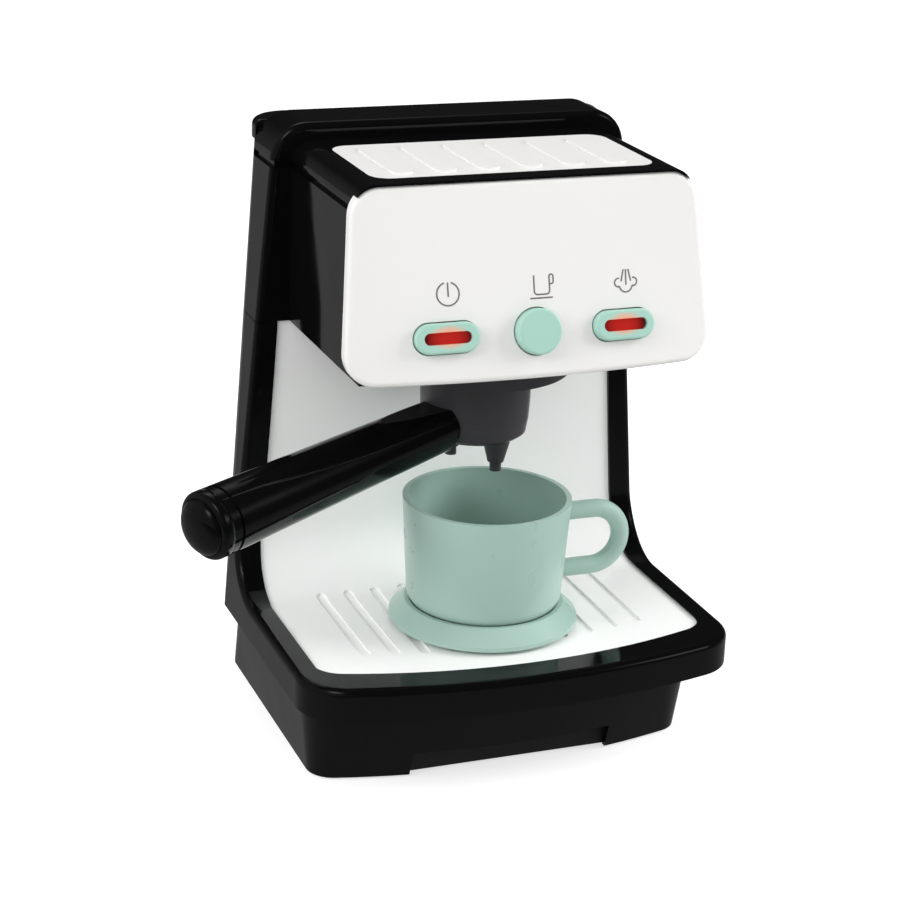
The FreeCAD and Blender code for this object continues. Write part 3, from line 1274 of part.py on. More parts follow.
rebate = door_shape(0.0, -1, cover_low + S["door_thick"] + S["fit_gap"])
boss = post(boss_x, S["cell_middle"], cover_low + S["door_thick"], cover_low + S["screw_length"], S["post_radius"])
speaker_place = (S["speaker_side"] - S["foot_half"], S["cell_middle"])
speaker_ring = post(*speaker_place, cover_low, cover_top + S["wall"], S["speaker_radius"] + S["well_wall"])
speaker_ring = speaker_ring.cut(post(*speaker_place, cover_top, FAR, S["speaker_radius"] + S["fit_gap"]))
cover = plate.multiFuse([recess_shell, well_outer, boss, speaker_ring]).cut(recess_room).cut(well_inner).cut(rebate)
cover = cover.cut(post(boss_x, S["cell_middle"], 0, cover_low + S["door_thick"] + S["short_screw"] + 1, pilot))
head_sink = cover_low + S["screw_head_thick"] + S["rest_gap"]
for x, y in base_posts:
    cover = cover.cut(post(x, y, 0, FAR / 4, pilot + S["screw_play"]).common(below(cover_top + 1)))
    cover = cover.cut(post(x, y, 0, head_sink, S["screw_head"] + 2 * S["screw_play"]))
pad_x = S["foot_half"] - S["pad_side"]
pad_ys = (S["pad_front"] - S["foot_front"], S["back_face"] - S["pad_rear"])
pads = [(side * pad_x, y) for side in (-1, 1) for y in pad_ys]
for x, y in pads:
    cover = cover.cut(post(x, y, 0, S["foot_pad_thick"], S["foot_pad_radius"] + S["fit_gap"]))
sound_ring = S["speaker_radius"] / 2
for i in range(6):
    angle = math.radians(60 * i)
    x = speaker_place[0] + sound_ring * math.cos(angle)
    cover = cover.cut(post(x, speaker_place[1] + sound_ring * math.sin(angle), 0, cover_top + 1, S["screw_radius"]))
piece("bottom_cover", cover.removeSplitter())

door = door_shape(S["fit_gap"], cover_low, cover_low + S["door_thick"])
door = door.cut(post(boss_x, S["cell_middle"], 0, FAR, pilot + S["screw_play"]))
door = door.cut(post(boss_x, S["cell_middle"], 0, cover_low + S["screw_head_thick"] - S["fit_gap"],
                     S["screw_head"] + 2 * S["screw_play"]))
piece("battery_door", door)
cover_z = "feet_drop + cover_inset"
door_screw_z = cover_z + " + screw_head_thick - fit_gap"
door_screw = screw("door_screw_solid", "short_screw", "cell_length / 2 + well_spare + well_wall + post_radius - screw_play",
                   "cell_middle", door_screw_z)
group("door_screw", [door_screw])
base_screws = []
for i, (x, y) in enumerate((a, b) for a in ("foot_half - post_offset", "post_offset - foot_half")
                           for b in ("post_front - foot_front", "back_face - post_rear")):
    base_screws.append(screw("base_screw_%d" % i, "screw_length", x, y, cover_z + " + screw_head_thick + rest_gap"))
group("bottom_screws", base_screws)
feet = []
for i, (x, y) in enumerate((a, b) for a in ("foot_half - pad_side", "pad_side - foot_half")
                           for b in ("pad_front - foot_front", "back_face - pad_rear")):
    feet.append(cylinder("foot_%d" % i, "foot_pad_radius", "foot_pad_thick", x, y, "0"))
group("rubber_feet", feet)
speaker = cylinder("speaker_disc", "speaker_radius", "speaker_thick", "speaker_side - foot_half", "cell_middle",
                   cover_z + " + cover_thick")
node(speaker, "speaker")


def row_offset(i):
    return (i - (S["cell_count"] - 1) / 2) * S["cell_pitch"]


cells = []
contacts = []
for i in range(int(S["cell_count"])):
    y = S["cell_middle"] + row_offset(i)
    cell = cylinder("cell_%d" % i, "cell_radius", "cell_length")
    for axis in "xyz":
        cell.setExpression("Placement.Base." + axis, None)
    cell.Placement = FreeCAD.Placement(vec(-S["cell_length"] / 2, y, cell_z), FreeCAD.Rotation(vec(0, 1, 0), 90))
    cells.append(cell)
    for j, side in enumerate((-1, 1)):
        contact = box("contact_%d_%d" % (i, j), "well_spare - rest_gap", "cell_radius", "cell_radius")
        for axis in "xyz":
            contact.setExpression("Placement.Base." + axis, None)
        x = -well_half_x if side < 0 else S["cell_length"] / 2 + S["rest_gap"]
        contact.Placement.Base = vec(x, y - S["cell_radius"] / 2, cell_z - S["cell_radius"] / 2)
        contacts.append(contact)
group("battery_cells", cells)
group("battery_contacts", contacts)

# Water tank and its lid
tank = solid_block(-S["tank_half"], tank_front, tank_floor, S["tank_half"], tank_back, S["lid_low"] - cover_gap)
hollow = S["tank_wall"]
tank_room = solid_block(hollow - S["tank_half"], tank_front + hollow, tank_floor + hollow,
                        S["tank_half"] - hollow, tank_back - hollow, FAR)
piece("water_tank", tank.cut(tank_room))


def lid_edges_at(inset, z):
    """Plan of the lid: straight along the seam, round at the rear corners."""
    half = S["lid_half"] - inset
    front = S["split_plane"] + cover_gap + inset
    back = S["back_face"] - inset
    corner = S["lid_corner"] - inset
    points = [(-half, front), (half, front), (half, back), (-half, back)]
    return rounded_polygon(points, [0, 0, corner, corner], lambda u, v: vec(u, v, z))


lid = extruded(lid_edges_at(0.0, S["lid_low"]), vec(0, 0, S["lid_top"] - S["lid_low"]))
lid = lid.makeFillet(S["lid_round"], [lid.Edges[int(name[4:]) - 1] for name in edges_at(lid, S["lid_top"])])
plug_gap = hollow + S["rest_gap"]
plug = solid_block(plug_gap - S["tank_half"], tank_front + plug_gap, S["lid_low"] - S["plug_depth"],
                   S["tank_half"] - plug_gap, tank_back - plug_gap, S["lid_low"] + 1)
piece("tank_lid", lid.fuse(plug))

# Nothing is written before every object and every piece is sound
doc.recompute()
for item in doc.Objects:
    if "Invalid" in item.State or "Error" in item.State:
        raise RuntimeError("failed object: " + item.Label)
labels = [item.Label for item in NODES]
if len(set(labels)) != len(labels):
    raise RuntimeError("two pieces share a name")
for item in NODES:
    if item.Shape.isNull() or not item.Shape.isValid() or not item.Shape.Solids:
        raise RuntimeError("bad shape: " + item.Label)
os.makedirs("parts", exist_ok=True)
for item in NODES:
    item.Shape.exportStep("parts/%s.step" % item.Label)
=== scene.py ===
# %% [markdown]
# A toy coffee maker, dressed for its picture. The solids arrive from the packed
# frame in metres, with +Z up and the buttons towards -Y. This script gives every
# solid its finish, prints the three signs on the panel, and sets the light and
# the camera. Nothing is moved: a piece stays where its mesh puts it.

# %% Load the frame
import math

import bpy
import numpy as np

from mathutils import Matrix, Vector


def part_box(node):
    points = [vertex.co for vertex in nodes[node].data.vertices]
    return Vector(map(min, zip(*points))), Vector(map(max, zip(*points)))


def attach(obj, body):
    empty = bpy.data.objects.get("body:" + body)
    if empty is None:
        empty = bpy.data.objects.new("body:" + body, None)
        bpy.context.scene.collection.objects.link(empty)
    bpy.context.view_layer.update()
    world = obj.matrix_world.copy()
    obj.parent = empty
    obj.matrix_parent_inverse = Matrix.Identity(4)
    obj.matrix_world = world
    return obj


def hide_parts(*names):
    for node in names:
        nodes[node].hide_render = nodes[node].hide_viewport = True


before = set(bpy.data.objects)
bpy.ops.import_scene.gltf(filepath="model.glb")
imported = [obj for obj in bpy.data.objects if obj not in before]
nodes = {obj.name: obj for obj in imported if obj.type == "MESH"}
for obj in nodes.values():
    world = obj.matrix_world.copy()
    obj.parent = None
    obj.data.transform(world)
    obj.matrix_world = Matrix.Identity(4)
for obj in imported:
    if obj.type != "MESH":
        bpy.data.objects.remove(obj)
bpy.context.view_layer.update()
MM = 0.001
print("nodes in the frame:", len(nodes))


# %% [markdown]
# The camera stands to the left of the machine and looks down on it. Its place
# was solved from the edges of the machine in the picture: a direction round the
# machine, a height, a small roll and a focal length. The camera is built from
# those angles, so each of them can be changed by itself.

# %% Camera
AZIMUTH = math.radians(-21.617)
ELEVATION = math.radians(19.825)
ROLL = math.radians(2.141)
DISTANCE = 1.002906
TARGET = np.array([-0.003904, -0.005, 0.120639])
FOCAL_PIXELS = 2312.76
PHOTO_WIDTH = 915
SENSOR_WIDTH = 36.0


def camera_axes(azimuth, elevation, roll):
    """Right, up and back unit vectors of a camera that looks at the target, turned by its roll."""
    back = np.array([
        math.sin(azimuth) * math.cos(elevation),
        -math.cos(azimuth) * math.cos(elevation),
        math.sin(elevation),
    ])
    level = np.cross(-back, (0.0, 0.0, 1.0))
    level /= np.linalg.norm(level)
    upright = np.cross(level, -back)
    right = level * math.cos(roll) + upright * math.sin(roll)
    up = upright * math.cos(roll) - level * math.sin(roll)
    return right, up, back


camera_data = bpy.data.cameras.new("camera")
camera = bpy.data.objects.new("camera", camera_data)
bpy.context.scene.collection.objects.link(camera)
right_axis, up_axis, back_axis = camera_axes(AZIMUTH, ELEVATION, ROLL)
pose = np.eye(4)
pose[:3, 0] = right_axis
pose[:3, 1] = up_axis
pose[:3, 2] = back_axis
pose[:3, 3] = TARGET + DISTANCE * back_axis
camera.matrix_world = Matrix(pose.tolist())
camera_data.sensor_fit = "HORIZONTAL"
camera_data.sensor_width = SENSOR_WIDTH
camera_data.lens = FOCAL_PIXELS / PHOTO_WIDTH * SENSOR_WIDTH
bpy.context.scene.camera = camera
print("lens in mm:", round(camera_data.lens, 2))


# %% [markdown]
# Finishes are built from shader nodes. Writing each node by hand is long, so one
# small class wraps a socket: arithmetic on it adds Math nodes, and one method
# adds any other node from its type, its settings and its inputs.

# %% Sockets that can be added and multiplied
class Wire:
    """An output socket. Arithmetic on it adds Math nodes to the same tree."""

    def __init__(self, tree, socket):
        self.tree = tree
        self.socket = socket

    def node(self, kind, settings=None, inputs=None, output=0):
        return add_node(self.tree, kind, settings, inputs, output)

    def math(self, operation, *values):
        return self.node("ShaderNodeMath", {"operation": operation}, dict(enumerate(values)))

    def __add__(self, other):
        return self.math("ADD", self, other)

    __radd__ = __add__

    def __sub__(self, other):
        return self.math("SUBTRACT", self, other)

    def __rsub__(self, other):
        return self.math("SUBTRACT", other, self)

    def __mul__(self, other):
        return self.math("MULTIPLY", self, other)

    __rmul__ = __mul__

    def __truediv__(self, other):
        return self.math("DIVIDE", self, other)

    def __pow__(self, other):
        return self.math("POWER", self, other)

    def above(self, other):
        return self.math("MAXIMUM", self, other)

    def below(self, other):
        return self.math("MINIMUM", self, other)


def add_node(tree, kind, settings=None, inputs=None, output=0):
    """Adds a node: its settings first, then its inputs by name or place. A closing node has no output."""
    node = tree.nodes.new(kind)
    for key, value in (settings or {}).items():
        setattr(node, key, value)
    for key, value in (inputs or {}).items():
        if isinstance(value, Wire):
            tree.links.new(value.socket, node.inputs[key])
        else:
            node.inputs[key].default_value = value
    return None if output is None else Wire(tree, node.outputs[output])


def mix_colours(factor, first, second):
    """First colour where the factor is 0, second where it is 1."""
    return factor.node("ShaderNodeMix", {"data_type": "RGBA"}, {0: factor, 6: first, 7: second}, 2)


def rgb(red, green, blue):
    """A colour as a screen shows it, 0 to 255, turned into the linear values a shader takes."""
    shown = np.array([red, green, blue]) / 255
    linear = np.where(shown <= 0.04045, shown / 12.92, ((shown + 0.055) / 1.055) ** 2.4)
    return (*map(float, linear), 1.0)


def shade(colour, amount):
    """A colour made darker or lighter, and never lighter than white."""
    return tuple(min(1.0, channel * amount) for channel in colour[:3]) + (1.0,)


def finish(name, **surface):
    """A new material whose Principled shader has these constants."""
    material = bpy.data.materials.new(name)
    material.use_nodes = True
    shader = material.node_tree.nodes["Principled BSDF"]
    for socket, value in surface.items():
        shader.inputs[socket.replace("_", " ")].default_value = value
    return material


def place_on(material):
    """The material's Object coordinates, in metres in the frame."""
    return add_node(material.node_tree, "ShaderNodeTexCoord", output="Object")


def feed(material, **links):
    """Links wires to sockets of the material's Principled shader."""
    tree = material.node_tree
    for socket, wire in links.items():
        tree.links.new(wire.socket, tree.nodes["Principled BSDF"].inputs[socket.replace("_", " ")])


def noise(place, scale, detail=2.0):
    """Soft noise between 0 and 1; scale counts its blotches in one metre."""
    return place.node("ShaderNodeTexNoise", None, {"Vector": place, "Scale": scale, "Detail": detail})


def bump(height, depth):
    """Turns a height of 0 to 1 into a tilt of the surface, as deep as depth in metres."""
    return height.node("ShaderNodeBump", None, {"Height": height, "Distance": depth, "Strength": 1.0})


# %% [markdown]
# The shell is glossy black plastic, and the panel, the rack, the buttons and the
# cup are pale kinds of it. Moulded sheets are never quite flat, so reflections on
# them wobble a little, and hands leave them a trace duller in places. Both come
# from slow noise: one tilts the surface, one roughens it. The cup and the saucer
# have only the roughening. Their wobble was taken out to see if it caused small
# dark specks on them. It did not, and it stayed out.

# %% Glossy plastics
FLOW_MARKS = 45.0
HANDLING = 90.0
SHEET_WAVES = 28.0
MINT = rgb(163, 203, 190)


def moulded(name, colour, roughness, spread, wobble, tint, **surface):
    """Moulded plastic: a colour with faint flow marks, uneven gloss and a slow wobble, where it has one."""
    material = finish(name, **surface)
    place = place_on(material)
    flow = noise(place, FLOW_MARKS, 3.0)
    handled = noise(place, HANDLING, 4.0)
    feed(
        material,
        Base_Color=mix_colours(flow, shade(colour, 1 - tint), shade(colour, 1 + tint)),
        Roughness=roughness + spread * handled,
    )
    if wobble:
        feed(material, Normal=bump(noise(place, SHEET_WAVES, 1.0), wobble))
    return material


gloss_black = moulded(
    "gloss_black_plastic", rgb(9, 9, 10), 0.05, 0.05, 0.35 * MM, 0.04, Specular_IOR_Level=0.26)
gloss_white = moulded("gloss_white_plastic", rgb(229, 228, 226), 0.18, 0.08, 0.12 * MM, 0.004)
deck_white = moulded("deck_white_plastic", rgb(250, 250, 249), 0.26, 0.08, 0.10 * MM, 0.004)
rack_grey = moulded("rack_grey_plastic", rgb(231, 230, 229), 0.30, 0.06, 0.10 * MM, 0.006)
mint = moulded("mint_plastic", MINT, 0.20, 0.10, 0.12 * MM, 0.02)
cup_mint = moulded("cup_mint_plastic", rgb(163, 192, 182), 0.24, 0.10, 0.0, 0.015)
holder_grey = moulded("holder_grey_plastic", rgb(60, 58, 61), 0.28, 0.10, 0.12 * MM, 0.05)
print("glossy plastics made")


# %% [markdown]
# Two long buttons have a red window with a lamp behind it. The lamp shows most
# in the middle of the lens, and it shines through the thin mint wall beside the
# window. Both are a fall-off from the middle of the lens, worked out from the
# lens's own place in the frame.

# %% Lenses and the glow round them
LENS_HALF = 9.8 * MM
GLOW_ACROSS = 9.0 * MM
GLOW_UP = 4.8 * MM
WINDOW_HEIGHT = 196.0 * MM
LENS_FALL = 2.6
DARK_RED = rgb(40, 8, 10)
LIT_RED = rgb(120, 20, 17)
DIM_LAMP = rgb(24, 2, 3)
BRIGHT_LAMP = rgb(150, 24, 18)
LAMP_GLOW_MINT = rgb(232, 150, 116)
WARM_LIGHT = rgb(255, 120, 70)
NO_LIGHT = (0.0, 0.0, 0.0, 1.0)
LENS_RIPPLES = 700.0
RIPPLE_DEPTH = 0.05 * MM
LENS_ROUGHNESS = 0.14
RIPPLE_DULLNESS = 0.1


def middle_of(node):
    low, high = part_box(node)
    return (low + high) / 2


def axis_distance(place, axis, middle, reach):
    """How far along one axis a place lies from the middle, in shares of the reach."""
    along = place.node("ShaderNodeSeparateXYZ", None, {0: place}, axis)
    share = (along - middle) / reach
    return share.math("ABSOLUTE", share)


def lens_finish(node):
    """Clear red plastic, lit from behind: bright in the middle, dark at its ends."""
    material = finish(node + "_plastic", Emission_Strength=1.0)
    place = place_on(material)
    along = axis_distance(place, "X", middle_of(node).x, LENS_HALF)
    lit = (1 - along ** LENS_FALL).above(0.0)
    ripple = noise(place, LENS_RIPPLES)
    feed(
        material,
        Base_Color=mix_colours(lit, DARK_RED, LIT_RED),
        Emission_Color=mix_colours(lit, DIM_LAMP, BRIGHT_LAMP),
        Roughness=LENS_ROUGHNESS + RIPPLE_DULLNESS * ripple,
        Normal=bump(ripple, RIPPLE_DEPTH),
    )
    return material


def lit_mint(node):
    """Mint plastic with the lamp's warm light painted round the window: a warmer base colour and a faint
    glow.
    """
    material = moulded(node + "_mint_plastic", MINT, 0.20, 0.10, 0.12 * MM, 0.02, Emission_Strength=0.10)
    place = place_on(material)
    across = axis_distance(place, "X", middle_of(node).x, GLOW_ACROSS)
    upward = axis_distance(place, "Z", WINDOW_HEIGHT, GLOW_UP)
    near = (1 - (across ** 2.0 + upward ** 2.0)).above(0.0)
    tree = material.node_tree
    plain = Wire(tree, tree.nodes["Principled BSDF"].inputs["Base Color"].links[0].from_socket)
    # Painted lamp glow: near the window the base colour turns warm, and the surface gives off warm light.
    feed(
        material,
        Base_Color=mix_colours(near, plain, LAMP_GLOW_MINT),
        Emission_Color=mix_colours(near, NO_LIGHT, WARM_LIGHT),
    )
    return material


power_lens = lens_finish("power_lens")
steam_lens = lens_finish("steam_lens")
power_mint = lit_mint("power_button")
steam_mint = lit_mint("steam_button")
print("lamps lit at", [round(middle_of(n).x, 4) for n in ("power_lens", "steam_lens")])


# %% [markdown]
# The hidden pieces have their own finishes as well. The picture does not show
# them, so these are guesses from what such pieces have: dull black plastic with
# a fine grain, steel, rubber, a paper-like jacket round each cell and a
# lacquered board.

# %% Finishes of the working pieces
GRAIN_SHADE = 0.88
GRAIN_DULLNESS = 0.12


def grained(name, colour, roughness, scale, depth, **surface):
    """A dull surface with a fine even grain."""
    material = finish(name, **surface)
    grain = noise(place_on(material), scale, 3.0)
    feed(
        material,
        Base_Color=mix_colours(grain, shade(colour, GRAIN_SHADE), colour),
        Roughness=roughness + GRAIN_DULLNESS * grain,
        Normal=bump(grain, depth),
    )
    return material


matte_black = grained("matte_black_plastic", rgb(26, 26, 27), 0.5, 1800.0, 0.05 * MM)
rubber = grained("rubber", rgb(34, 34, 34), 0.72, 900.0, 0.08 * MM)
steel = grained("steel", rgb(176, 174, 170), 0.24, 1200.0, 0.02 * MM, Metallic=1.0)
cell_jacket = grained("cell_jacket", rgb(196, 192, 178), 0.38, 300.0, 0.02 * MM)
board_green = grained("board_lacquer", rgb(28, 92, 52), 0.32, 500.0, 0.03 * MM, Coat_Weight=0.5)
lamp_red = grained("lamp_red", rgb(196, 40, 30), 0.2, 400.0, 0.02 * MM)
tank_grey = grained("tank_grey_plastic", rgb(150, 152, 155), 0.3, 700.0, 0.04 * MM)


# %% Give each solid its finish
FINISHES = {
    "gloss_black": gloss_black,
    "gloss_white": gloss_white,
    "rack_grey": rack_grey,
    "mint": mint,
    "dark_grey": holder_grey,
    "matte_black": matte_black,
    "steel": steel,
    "rubber": rubber,
    "cell_jacket": cell_jacket,
    "board_green": board_green,
    "lamp_red": lamp_red,
    "tank_grey": tank_grey,
}
OWN_FINISH = {
    "deck_panel": deck_white,
    "cup": cup_mint,
    "saucer": cup_mint,
    "power_button": power_mint,
    "steam_button": steam_mint,
    "power_lens": power_lens,
    "steam_lens": steam_lens,
}
for name, node in nodes.items():
    slot_name = node.data.materials[0].name.split(".")[0]
    node.data.materials[0] = OWN_FINISH.get(name) or FINISHES[slot_name]
print("solids dressed:", len(nodes))


# %% [markdown]
# The handle ends in a plug with a rounded shoulder, a fine sunk ring and a
# shallow dome. Its outline is turned about the handle's axis: one parameter runs
# along the outline, the other round the axis.

# %% Turned surfaces
TURNS = 96


def turned_shell(name, outline, start, axis):
    """Spins (distance along the axis, radius) places about an axis; both ends close in a pole."""
    axis = np.array(axis, float) / np.linalg.norm(axis)
    side = np.cross(axis, (0.0, 0.0, 1.0))
    side /= np.linalg.norm(side)
    other = np.cross(axis, side)
    turn = np.linspace(0.0, 2 * np.pi, TURNS, endpoint=False)
    ring = np.cos(turn)[:, None] * side + np.sin(turn)[:, None] * other
    along, radius = outline[:, 0], outline[:, 1]
    body = np.array(start) + along[:, None, None] * axis + radius[:, None, None] * ring
    poles = np.array(start) + along[[0, -1], None] * axis
    count = len(outline)
    row = np.arange(count - 1)[:, None] * TURNS
    here = np.arange(TURNS)[None, :]
    after = (here + 1) % TURNS
    quads = np.stack([row + here, row + TURNS + here, row + TURNS + after, row + after], axis=-1)
    first, last = count * TURNS, count * TURNS + 1
    here, after = here[0], after[0]
    near_cap = np.stack([np.full(TURNS, first), here, after], axis=-1)
    top = (count - 1) * TURNS
    far_cap = np.stack([np.full(TURNS, last), top + after, top + here], axis=-1)
    mesh = bpy.data.meshes.new(name)
    faces = quads.reshape(-1, 4).tolist() + near_cap.tolist() + far_cap.tolist()
    mesh.from_pydata(np.concatenate([body.reshape(-1, 3), poles]).tolist(), [], faces)
    mesh.polygons.foreach_set("use_smooth", np.ones(len(mesh.polygons), bool))
    shell = bpy.data.objects.new(name, mesh)
    bpy.context.scene.collection.objects.link(shell)
    return shell


# %% Handle's end plug
BREW_AXIS = np.array([0.0, -13.3, 141.7]) * MM
HANDLE_YAW = math.radians(24.5)
HANDLE_DROP = math.radians(5.9)
HANDLE_AXIS = (
    -math.cos(HANDLE_YAW) * math.cos(HANDLE_DROP),
    -math.sin(HANDLE_YAW) * math.cos(HANDLE_DROP),
    -math.sin(HANDLE_DROP),
)
PLUG_START = 146.0 * MM
PLUG_RADIUS = 14.1 * MM
PLUG_STRAIGHT = 2.6 * MM
SHOULDER = 2.4 * MM
RING_DEPTH = 0.28 * MM
DOME_RADIUS = 11.6 * MM
DOME_HEIGHT = 5.2 * MM
DOME_FLATNESS = 2.3
DOME_FULLNESS = 0.6
DOME_END = 0.02
RING_EDGE = 0.03 * MM
SHOULDER_STEPS = 14
DOME_STEPS = 34


def plug_outline():
    """Straight side, a quarter circle for the shoulder, a shallow ring, and a dome whose height
    falls with the radius as a flattened ellipse."""
    quarter = np.linspace(0.0, np.pi / 2, SHOULDER_STEPS)
    shoulder_x = PLUG_STRAIGHT + SHOULDER * np.sin(quarter)
    shoulder_r = PLUG_RADIUS - SHOULDER * (1 - np.cos(quarter))
    low = shoulder_x[-1]
    ring_x = low + RING_DEPTH * np.array([-0.6, -1.0, -0.6])
    ring_r = np.linspace(shoulder_r[-1] - RING_EDGE, DOME_RADIUS + RING_EDGE, 3)
    share = np.sin(np.linspace(np.pi / 2, DOME_END, DOME_STEPS))
    dome_r = DOME_RADIUS * share
    dome_x = low + DOME_HEIGHT * (1 - share ** DOME_FLATNESS) ** DOME_FULLNESS
    straight_x = np.array([0.0, 0.0, PLUG_STRAIGHT / 2])
    straight_r = np.array([PLUG_RADIUS / 2, PLUG_RADIUS, PLUG_RADIUS])
    along = np.concatenate([straight_x, shoulder_x, ring_x, dome_x])
    radius = np.concatenate([straight_r, shoulder_r, ring_r, dome_r])
    return np.stack([along, radius], axis=-1)


plug_place = BREW_AXIS + PLUG_START * np.array(HANDLE_AXIS)
plug = turned_shell("handle_plug", plug_outline(), plug_place, HANDLE_AXIS)
plug.data.materials.append(gloss_black)
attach(plug, "holder")
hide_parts("handle_cap")
print("plug's outline has", len(plug_outline()), "places")


# %% [markdown]
# The panel's signs are printed lines of even width with round ends: a ring with
# a stroke for power, a cup, and rising steam. The face they lie on slopes back
# and bows forward, so each line is worked out flat, in millimetres across and up
# the face, and then laid on the bowed face.

# %% The panel's face
PANEL_LOW = 176.4 * MM
PANEL_HIGH = 253.0 * MM
PANEL_LOW_FRONT = 80.5 * MM
PANEL_HIGH_FRONT = 60.3 * MM
PANEL_HALF = 79.3 * MM
LOW_BOW = 7.0 * MM
HIGH_BOW = 0.6 * MM
BUTTON_ROW = 195.1 * MM
LEAN_BACK = (PANEL_LOW_FRONT - PANEL_HIGH_FRONT) / (PANEL_HIGH - PANEL_LOW)
PANEL_SLOPE = math.atan(LEAN_BACK)


def on_face(across, up, out):
    """Places on the bowed face: across it, up it from the button row, and out from it, as (n, 3)."""
    z = BUTTON_ROW + up * math.cos(PANEL_SLOPE)
    share = (z - PANEL_LOW) / (PANEL_HIGH - PANEL_LOW)
    bow = LOW_BOW + share * (HIGH_BOW - LOW_BOW)
    y = -PANEL_LOW_FRONT + (z - PANEL_LOW) * LEAN_BACK + bow * (across / PANEL_HALF) ** 2
    y = y - out * math.cos(PANEL_SLOPE)
    z = z + out * math.sin(PANEL_SLOPE)
    return np.stack([across, y, z], axis=-1)


# %% Printed lines
LINE_WIDTH = 0.62 * MM
INK = 0.05 * MM
STEP = 0.12 * MM
END_ROUNDING = 0.999


def straight(start, end):
    """Places on a straight line, a step apart."""
    start, end = np.array(start, float), np.array(end, float)
    count = max(2, int(np.linalg.norm(end - start) * MM / STEP))
    return start + (end - start) * np.linspace(0.0, 1.0, count)[:, None]


def bent(centre, radius, first, last):
    """Places on an arc, between two angles in degrees from the right, anticlockwise."""
    count = max(4, int(abs(math.radians(last - first)) * radius * MM / STEP))
    turn = np.radians(np.linspace(first, last, count))
    return np.array(centre) + radius * np.stack([np.cos(turn), np.sin(turn)], axis=-1)


def printed_line(parts):
    """Vertices and faces of one inked line. The line's half width follows a circle at
    its two ends, so they close in a round; its section is a flat rectangle."""
    path = np.concatenate(parts) * MM
    keep = np.append(True, np.linalg.norm(np.diff(path, axis=0), axis=1) > STEP / 4)
    path = path[keep]
    run = np.append(0.0, np.cumsum(np.linalg.norm(np.diff(path, axis=0), axis=1)))
    heading = np.gradient(path, axis=0)
    heading /= np.linalg.norm(heading, axis=1)[:, None]
    sideways = np.stack([-heading[:, 1], heading[:, 0]], axis=-1)
    half = LINE_WIDTH / 2
    to_end = np.minimum(run, run[-1] - run)
    rounding = np.clip(1 - to_end / half, 0.0, END_ROUNDING)
    width = half * np.sqrt(1 - rounding ** 2)
    corners = []
    for side, out in ((-1, -INK), (1, -INK), (1, INK), (-1, INK)):
        flat = path + side * width[:, None] * sideways
        corners.append(on_face(flat[:, 0], flat[:, 1], np.full(len(flat), out)))
    rings = np.stack(corners, axis=1)
    count = len(path)
    start = np.arange(count - 1)[:, None] * 4
    edge = np.arange(4)[None, :]
    after = (edge + 1) % 4
    quads = np.stack([start + edge, start + after, start + 4 + after, start + 4 + edge], axis=-1)
    ends = np.array([[3, 2, 1, 0], (count - 1) * 4 + np.arange(4)])
    return rings.reshape(-1, 3), np.concatenate([quads.reshape(-1, 4), ends])


def printed_sign(name, body, lines):
    """One mesh of several inked lines."""
    places, faces, used = [], [], 0
    for line in lines:
        vertices, quads = printed_line(line)
        places.append(vertices)
        faces.append(quads + used)
        used += len(vertices)
    mesh = bpy.data.meshes.new(name)
    mesh.from_pydata(np.concatenate(places).tolist(), [], np.concatenate(faces).tolist())
    mesh.validate()
    sign = bpy.data.objects.new(name, mesh)
    bpy.context.scene.collection.objects.link(sign)
    mesh.materials.append(ink)
    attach(sign, body)
    print(name, "faces:", len(mesh.polygons))


ink = grained("sign_ink", rgb(116, 108, 106), 0.4, 1500.0, 0.01 * MM)

# %% Power sign
RING_CENTRE = (-36.3, 16.9)
RING_RADIUS = 4.6
RING_OPENING = 17.0
STROKE_TOP = (-36.3, 21.5)
STROKE_FOOT = (-36.2, 15.7)
printed_sign("sign_power", "frame", [
    [bent(RING_CENTRE, RING_RADIUS, 90 + RING_OPENING, 450 - RING_OPENING)],
    [straight(STROKE_TOP, STROKE_FOOT)],
])

# %% Cup sign
CUP_LEFT = -0.1
CUP_RIGHT = 6.5
CUP_TOP = 22.2
CUP_FOOT = 14.4
FOOT_ROUND = 1.4
LEFT_SIDE_END = 15.9
EAR_TOP = 21.3
EAR_ROUND = 0.85
EAR_TURN = 19.3
EAR_LOWER_ROUND = 0.9
EAR_END = 6.6
SAUCER_HEIGHT = 13.0
SAUCER_ENDS = (-2.1, 7.8)
ear_right = CUP_RIGHT + 2 * EAR_ROUND
foot_left = CUP_LEFT + FOOT_ROUND
foot_right = CUP_RIGHT - FOOT_ROUND
round_height = CUP_FOOT + FOOT_ROUND
ear_low = EAR_TURN - EAR_LOWER_ROUND
ear_low_x = ear_right - EAR_LOWER_ROUND
printed_sign("sign_cup", "frame", [
    [
        straight((CUP_LEFT, CUP_TOP), (CUP_LEFT, LEFT_SIDE_END)),
        bent((foot_left, round_height), FOOT_ROUND, 180, 270),
        straight((foot_left, CUP_FOOT), (foot_right, CUP_FOOT)),
        bent((foot_right, round_height), FOOT_ROUND, 270, 360),
        straight((CUP_RIGHT, round_height), (CUP_RIGHT, EAR_TOP)),
        bent((CUP_RIGHT + EAR_ROUND, EAR_TOP), EAR_ROUND, 180, 0),
        straight((ear_right, EAR_TOP), (ear_right, EAR_TURN)),
        bent((ear_low_x, EAR_TURN), EAR_LOWER_ROUND, 0, -90),
        straight((ear_low_x, ear_low), (EAR_END, ear_low)),
    ],
    [straight((SAUCER_ENDS[0], SAUCER_HEIGHT), (SAUCER_ENDS[1], SAUCER_HEIGHT))],
])

